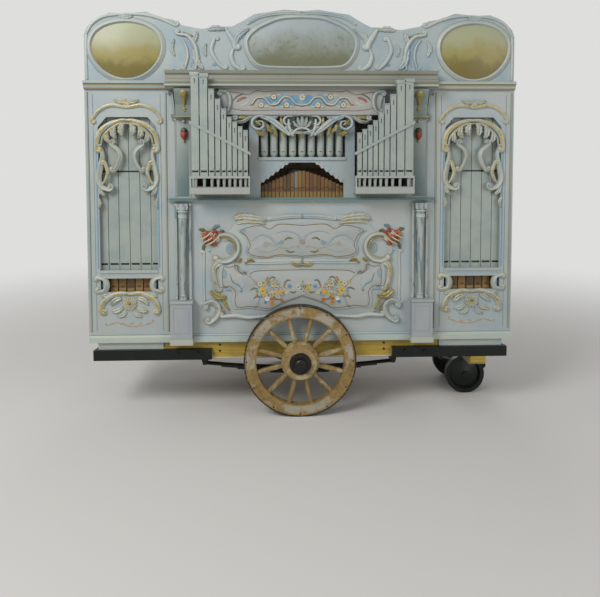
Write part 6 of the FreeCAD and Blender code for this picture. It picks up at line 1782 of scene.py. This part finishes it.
@dataclass
class Folds(Assembly):
    """The leather folds between the bellows' fixed board and the boards that move."""

    pleats: int = 3
    draw_in: float = 16
    corner: float = 14
    rings: int = 25
    around: int = 8

    def build(self) -> None:
        """Build the folds of the reservoir and of both feeders."""
        for name, body, x, y, fixed, moving in (
                ("reservoir_folds", "reservoir", (-480, 300), (-200, 400), 782.1, 861.9),
                ("front_feeder_folds", "feeder_front", (-480, 360), (-160, 70), 759.9, 680.1),
                ("rear_feeder_folds", "feeder_rear", (-480, 360), (160, 390), 759.9, 680.1)):
            folds = self.pleated(name, np.array([x, y]), fixed, moving)
            piece = self.add(folds, LEATHER, body="", slot="leather", replaces=("bellows_folds",), sharp=50)
            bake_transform(piece)

    def pleated(self, name: str, sides: Array, fixed: float, moving: float) -> Relief:
        """Give pleats with rounded corners.

        The sides draw in by a fixed width times the cosine of one half turn for each pleat over the
        height, taken positive.

        Args:
            name: The piece's name.
            sides: The lowest and highest X, then the lowest and highest Y.
            fixed: The Z of the end that stays.
            moving: The Z of the end that moves.

        Returns:
            The closed surface.
        """
        quarter = np.arange(4.0)[:, None] * 0.5 * math.pi
        turn = (quarter + np.linspace(0.0, 0.5 * math.pi, self.around)).ravel()
        middle = np.repeat(quarter.ravel() + 0.25 * math.pi, self.around)
        corner = np.sign(np.stack([np.cos(middle), np.sin(middle)], 1))
        bend = self.corner * (np.stack([np.cos(turn), np.sin(turn)], 1) - corner)
        share = np.linspace(0.0, 1.0, self.rings)
        inset = self.draw_in * np.abs(np.cos(self.pleats * math.pi * share))
        half = 0.5 * (sides[:, 1] - sides[:, 0]) - inset[:, None]
        flat = sides.mean(1) + corner * half[:, None, :] + bend
        height = np.broadcast_to((fixed + (moving - fixed) * share)[:, None, None], (*flat.shape[:2], 1))
        relief = Relief(name).grid(np.concatenate([flat, height], 2), 1.0, WHITE, None, True)
        ring, way = np.arange(flat.shape[1])[None], 1 if fixed > moving else -1
        relief.faces.append(ring[:, ::way])
        relief.faces.append(ring[:, ::-way] + (self.rings - 1) * flat.shape[1])
        return relief


@dataclass
class BackSide(Assembly):
    """The crank side: the flat belt to the key frame, the door knobs and the doors' closing strips."""

    small_pulley: Point = (430, 1060)
    large_pulley: Point = (-24, 1673)
    radii: Point = (40, 80)
    play: float = 0.4
    thickness: float = 3.0
    edges: Point = (397, 413)
    strips: tuple[Sides, ...] = (
        (-890, 890, 1764, 1792), (-16, 16, 1791, 2429.5))
    knobs: tuple[tuple[str, float, float], ...] = (
        ("upper_door_left", -42, 2102), ("upper_door_right", 42, 2102), ("lower_door", -98, 1175))

    def build(self) -> None:
        """Build the belt and the fittings of the doors."""
        self.belt()
        strips = Relief("door_closing_strips")
        for sides in self.strips:
            strips.plate(oblong(*sides), -423.5, -429.5, 0.6)
        self.add(half_turned(strips), BELLOWS_WOOD, slot="case_wood")
        for name, x, z in self.knobs:
            knob = Relief(f"{name}_knob").dome((-x, z), 15, 15, -449.5, 4).dome((-x, z), 8, 8, -452, 12)
            self.add(half_turned(knob), CAP_BRASS, body=name, slot="steel")

    def belt(self) -> None:
        """Lay the belt round its two pulleys.

        The belt's outline is the convex hull of two circles, found as the farthest point of either
        circle in each direction, and a closed strip of four corners follows it.
        """
        angle = np.linspace(0.0, 2.0 * math.pi, 120, endpoint=False)
        way = np.stack([np.cos(angle), np.sin(angle)], 1)
        small, large = np.array(self.small_pulley), np.array(self.large_pulley)
        far = (way @ (small - large))[:, None] + (self.radii[0] - self.radii[1]) > 0.0
        inner = np.where(far, small + (self.radii[0] + self.play) * way, large + (self.radii[1] + self.play) * way)
        outer, (near, back) = inner + self.thickness * way, self.edges
        rows = [np.insert(ring, 1, y, axis=1)
                for ring, y in ((inner, near), (outer, near), (outer, back), (inner, back))]
        strip = np.stack(rows + rows[:1])
        relief = Relief("drive_belt").grid(strip, 1.0, WHITE, None, True)
        self.add(relief, BELT_HIDE, slot="leather", sharp=30)


@dataclass(frozen=True)
class Studio:
    """The floor, lights, background and camera."""

    place: tuple[float, float, float] = (-0.159, -4.690, 1.777)
    yaw: float = 1.96
    pitch: float = -3.05
    roll: float = -0.10
    lens: float = 35.14
    shift: float = -0.1675

    def build(self) -> None:
        """Build the stage and set the camera."""
        self.floor()
        self.light("key_light", (-3.8, -4.8, 5.4), 2.8, 324.0)
        self.light("fill_light", (4.4, -5.2, 2.6), 3.6, 90.0)
        self.light("back_light", (0.6, 6.2, 4.4), 4.0, 124.0)
        self.world()
        self.camera()

    def floor(self) -> None:
        """Lay a plain pale floor that passes into the background far from the organ."""
        mesh = bpy.data.meshes.new("studio_floor")
        mesh.from_pydata([(-30, -30, 0), (30, -30, 0), (30, 30, 0), (-30, 30, 0)], [], [(0, 1, 2, 3)])
        net = Net("studio_floor")
        point = net.place()
        across, deep = net.split(point, "X"), net.split(point, "Y")
        away = ((across * across + deep * deep) ** 0.5).rises(1.8, 7.5)
        seen = net.add("ShaderNodeLightPath", out="Is Camera Ray")
        matt = net.add("ShaderNodeBsdfDiffuse", None, {"Color": rgb(206, 204, 200)})
        shown = net.add("ShaderNodeEmission", None, {"Color": BACKDROP, "Strength": 1.0})
        mixed = net.add("ShaderNodeMixShader", None, {0: away * seen, 1: matt, 2: shown})
        net.add("ShaderNodeOutputMaterial", None, {"Surface": mixed})
        mesh.materials.append(net.owner)
        floor = bpy.data.objects.new("studio_floor", mesh)
        bpy.context.scene.collection.objects.link(floor)

    def light(self, name: str, place: tuple[float, float, float], size: float, power: float) -> None:
        """Hang a soft square lamp that points at the organ's middle.

        Args:
            name: Its name.
            place: Its place in metres.
            size: Its side in metres.
            power: Its power in watts.
        """
        lamp = bpy.data.lights.new(name, "AREA")
        lamp.size, lamp.energy = size, power
        piece = bpy.data.objects.new(name, lamp)
        piece.location = place
        piece.rotation_euler = (Vector((0.0, 0.0, 1.3)) - Vector(place)).to_track_quat("-Z", "Y").to_euler()
        bpy.context.scene.collection.objects.link(piece)

    def world(self) -> None:
        """Light all round softly and show a pale background to the camera and to reflections."""
        net = Net("studio", world=True)
        seen, glossy, passed = [net.add("ShaderNodeLightPath", out=f"Is {kind} Ray")
                                for kind in ("Camera", "Glossy", "Transmission")]
        share = net.math("MAXIMUM", seen, net.math("MAXIMUM", glossy, passed))
        soft = net.add("ShaderNodeBackground", None, {"Color": (1.0, 1.0, 1.0, 1.0), "Strength": 0.38})
        shown = net.add("ShaderNodeBackground", None, {"Color": BACKDROP, "Strength": 1.0})
        mixed = net.add("ShaderNodeMixShader", None, {0: share, 1: soft, 2: shown})
        net.add("ShaderNodeOutputWorld", None, {"Surface": mixed})
        bpy.context.scene.world = net.owner

    def camera(self) -> None:
        """Set the camera by its place, direction, lens and shift."""
        yaw, pitch = math.radians(self.yaw), math.radians(self.pitch)
        ahead = Vector((math.sin(yaw) * math.cos(pitch), math.cos(yaw) * math.cos(pitch), math.sin(pitch)))
        data = bpy.data.cameras.new("camera")
        data.lens, data.sensor_width, data.shift_y = self.lens, 36.0, self.shift
        data.dof.use_dof = False
        piece = bpy.data.objects.new("camera", data)
        piece.location = self.place
        turn = ahead.to_track_quat("-Z", "Y").to_matrix() @ Matrix.Rotation(math.radians(self.roll), 3, "Z")
        piece.rotation_euler = turn.to_euler()
        bpy.context.scene.collection.objects.link(piece)
        bpy.context.scene.camera = piece


def dress(nodes: dict) -> None:
    """Give each of the frame's pieces its finish.

    Args:
        nodes: The frame's objects by node name.
    """
    for name, piece in nodes.items():
        material = NODE_FINISHES[name].material()
        if piece.material_slots:
            for slot in piece.material_slots:
                slot.material = material
        else:
            piece.data.materials.append(material)
        LOG.info("%s: finish %s", name, material.name)


def main() -> None:
    """Load the frame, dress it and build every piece."""
    logging.basicConfig(level=logging.INFO, format="%(message)s")
    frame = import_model()
    bpy.context.scene.view_settings.view_transform = "Standard"
    dress(frame["nodes"])
    for assembly in (Cartouche(), Frieze(), Consoles(), WingCarvings(), Attic(), Pipes(), Columns(), Cart(),
                     Folds(), BackSide()):
        assembly.build()
        LOG.info("%s: %d pieces", type(assembly).__name__, len(assembly.pieces))
    Studio().build()


if __name__ == "__main__":
    main()
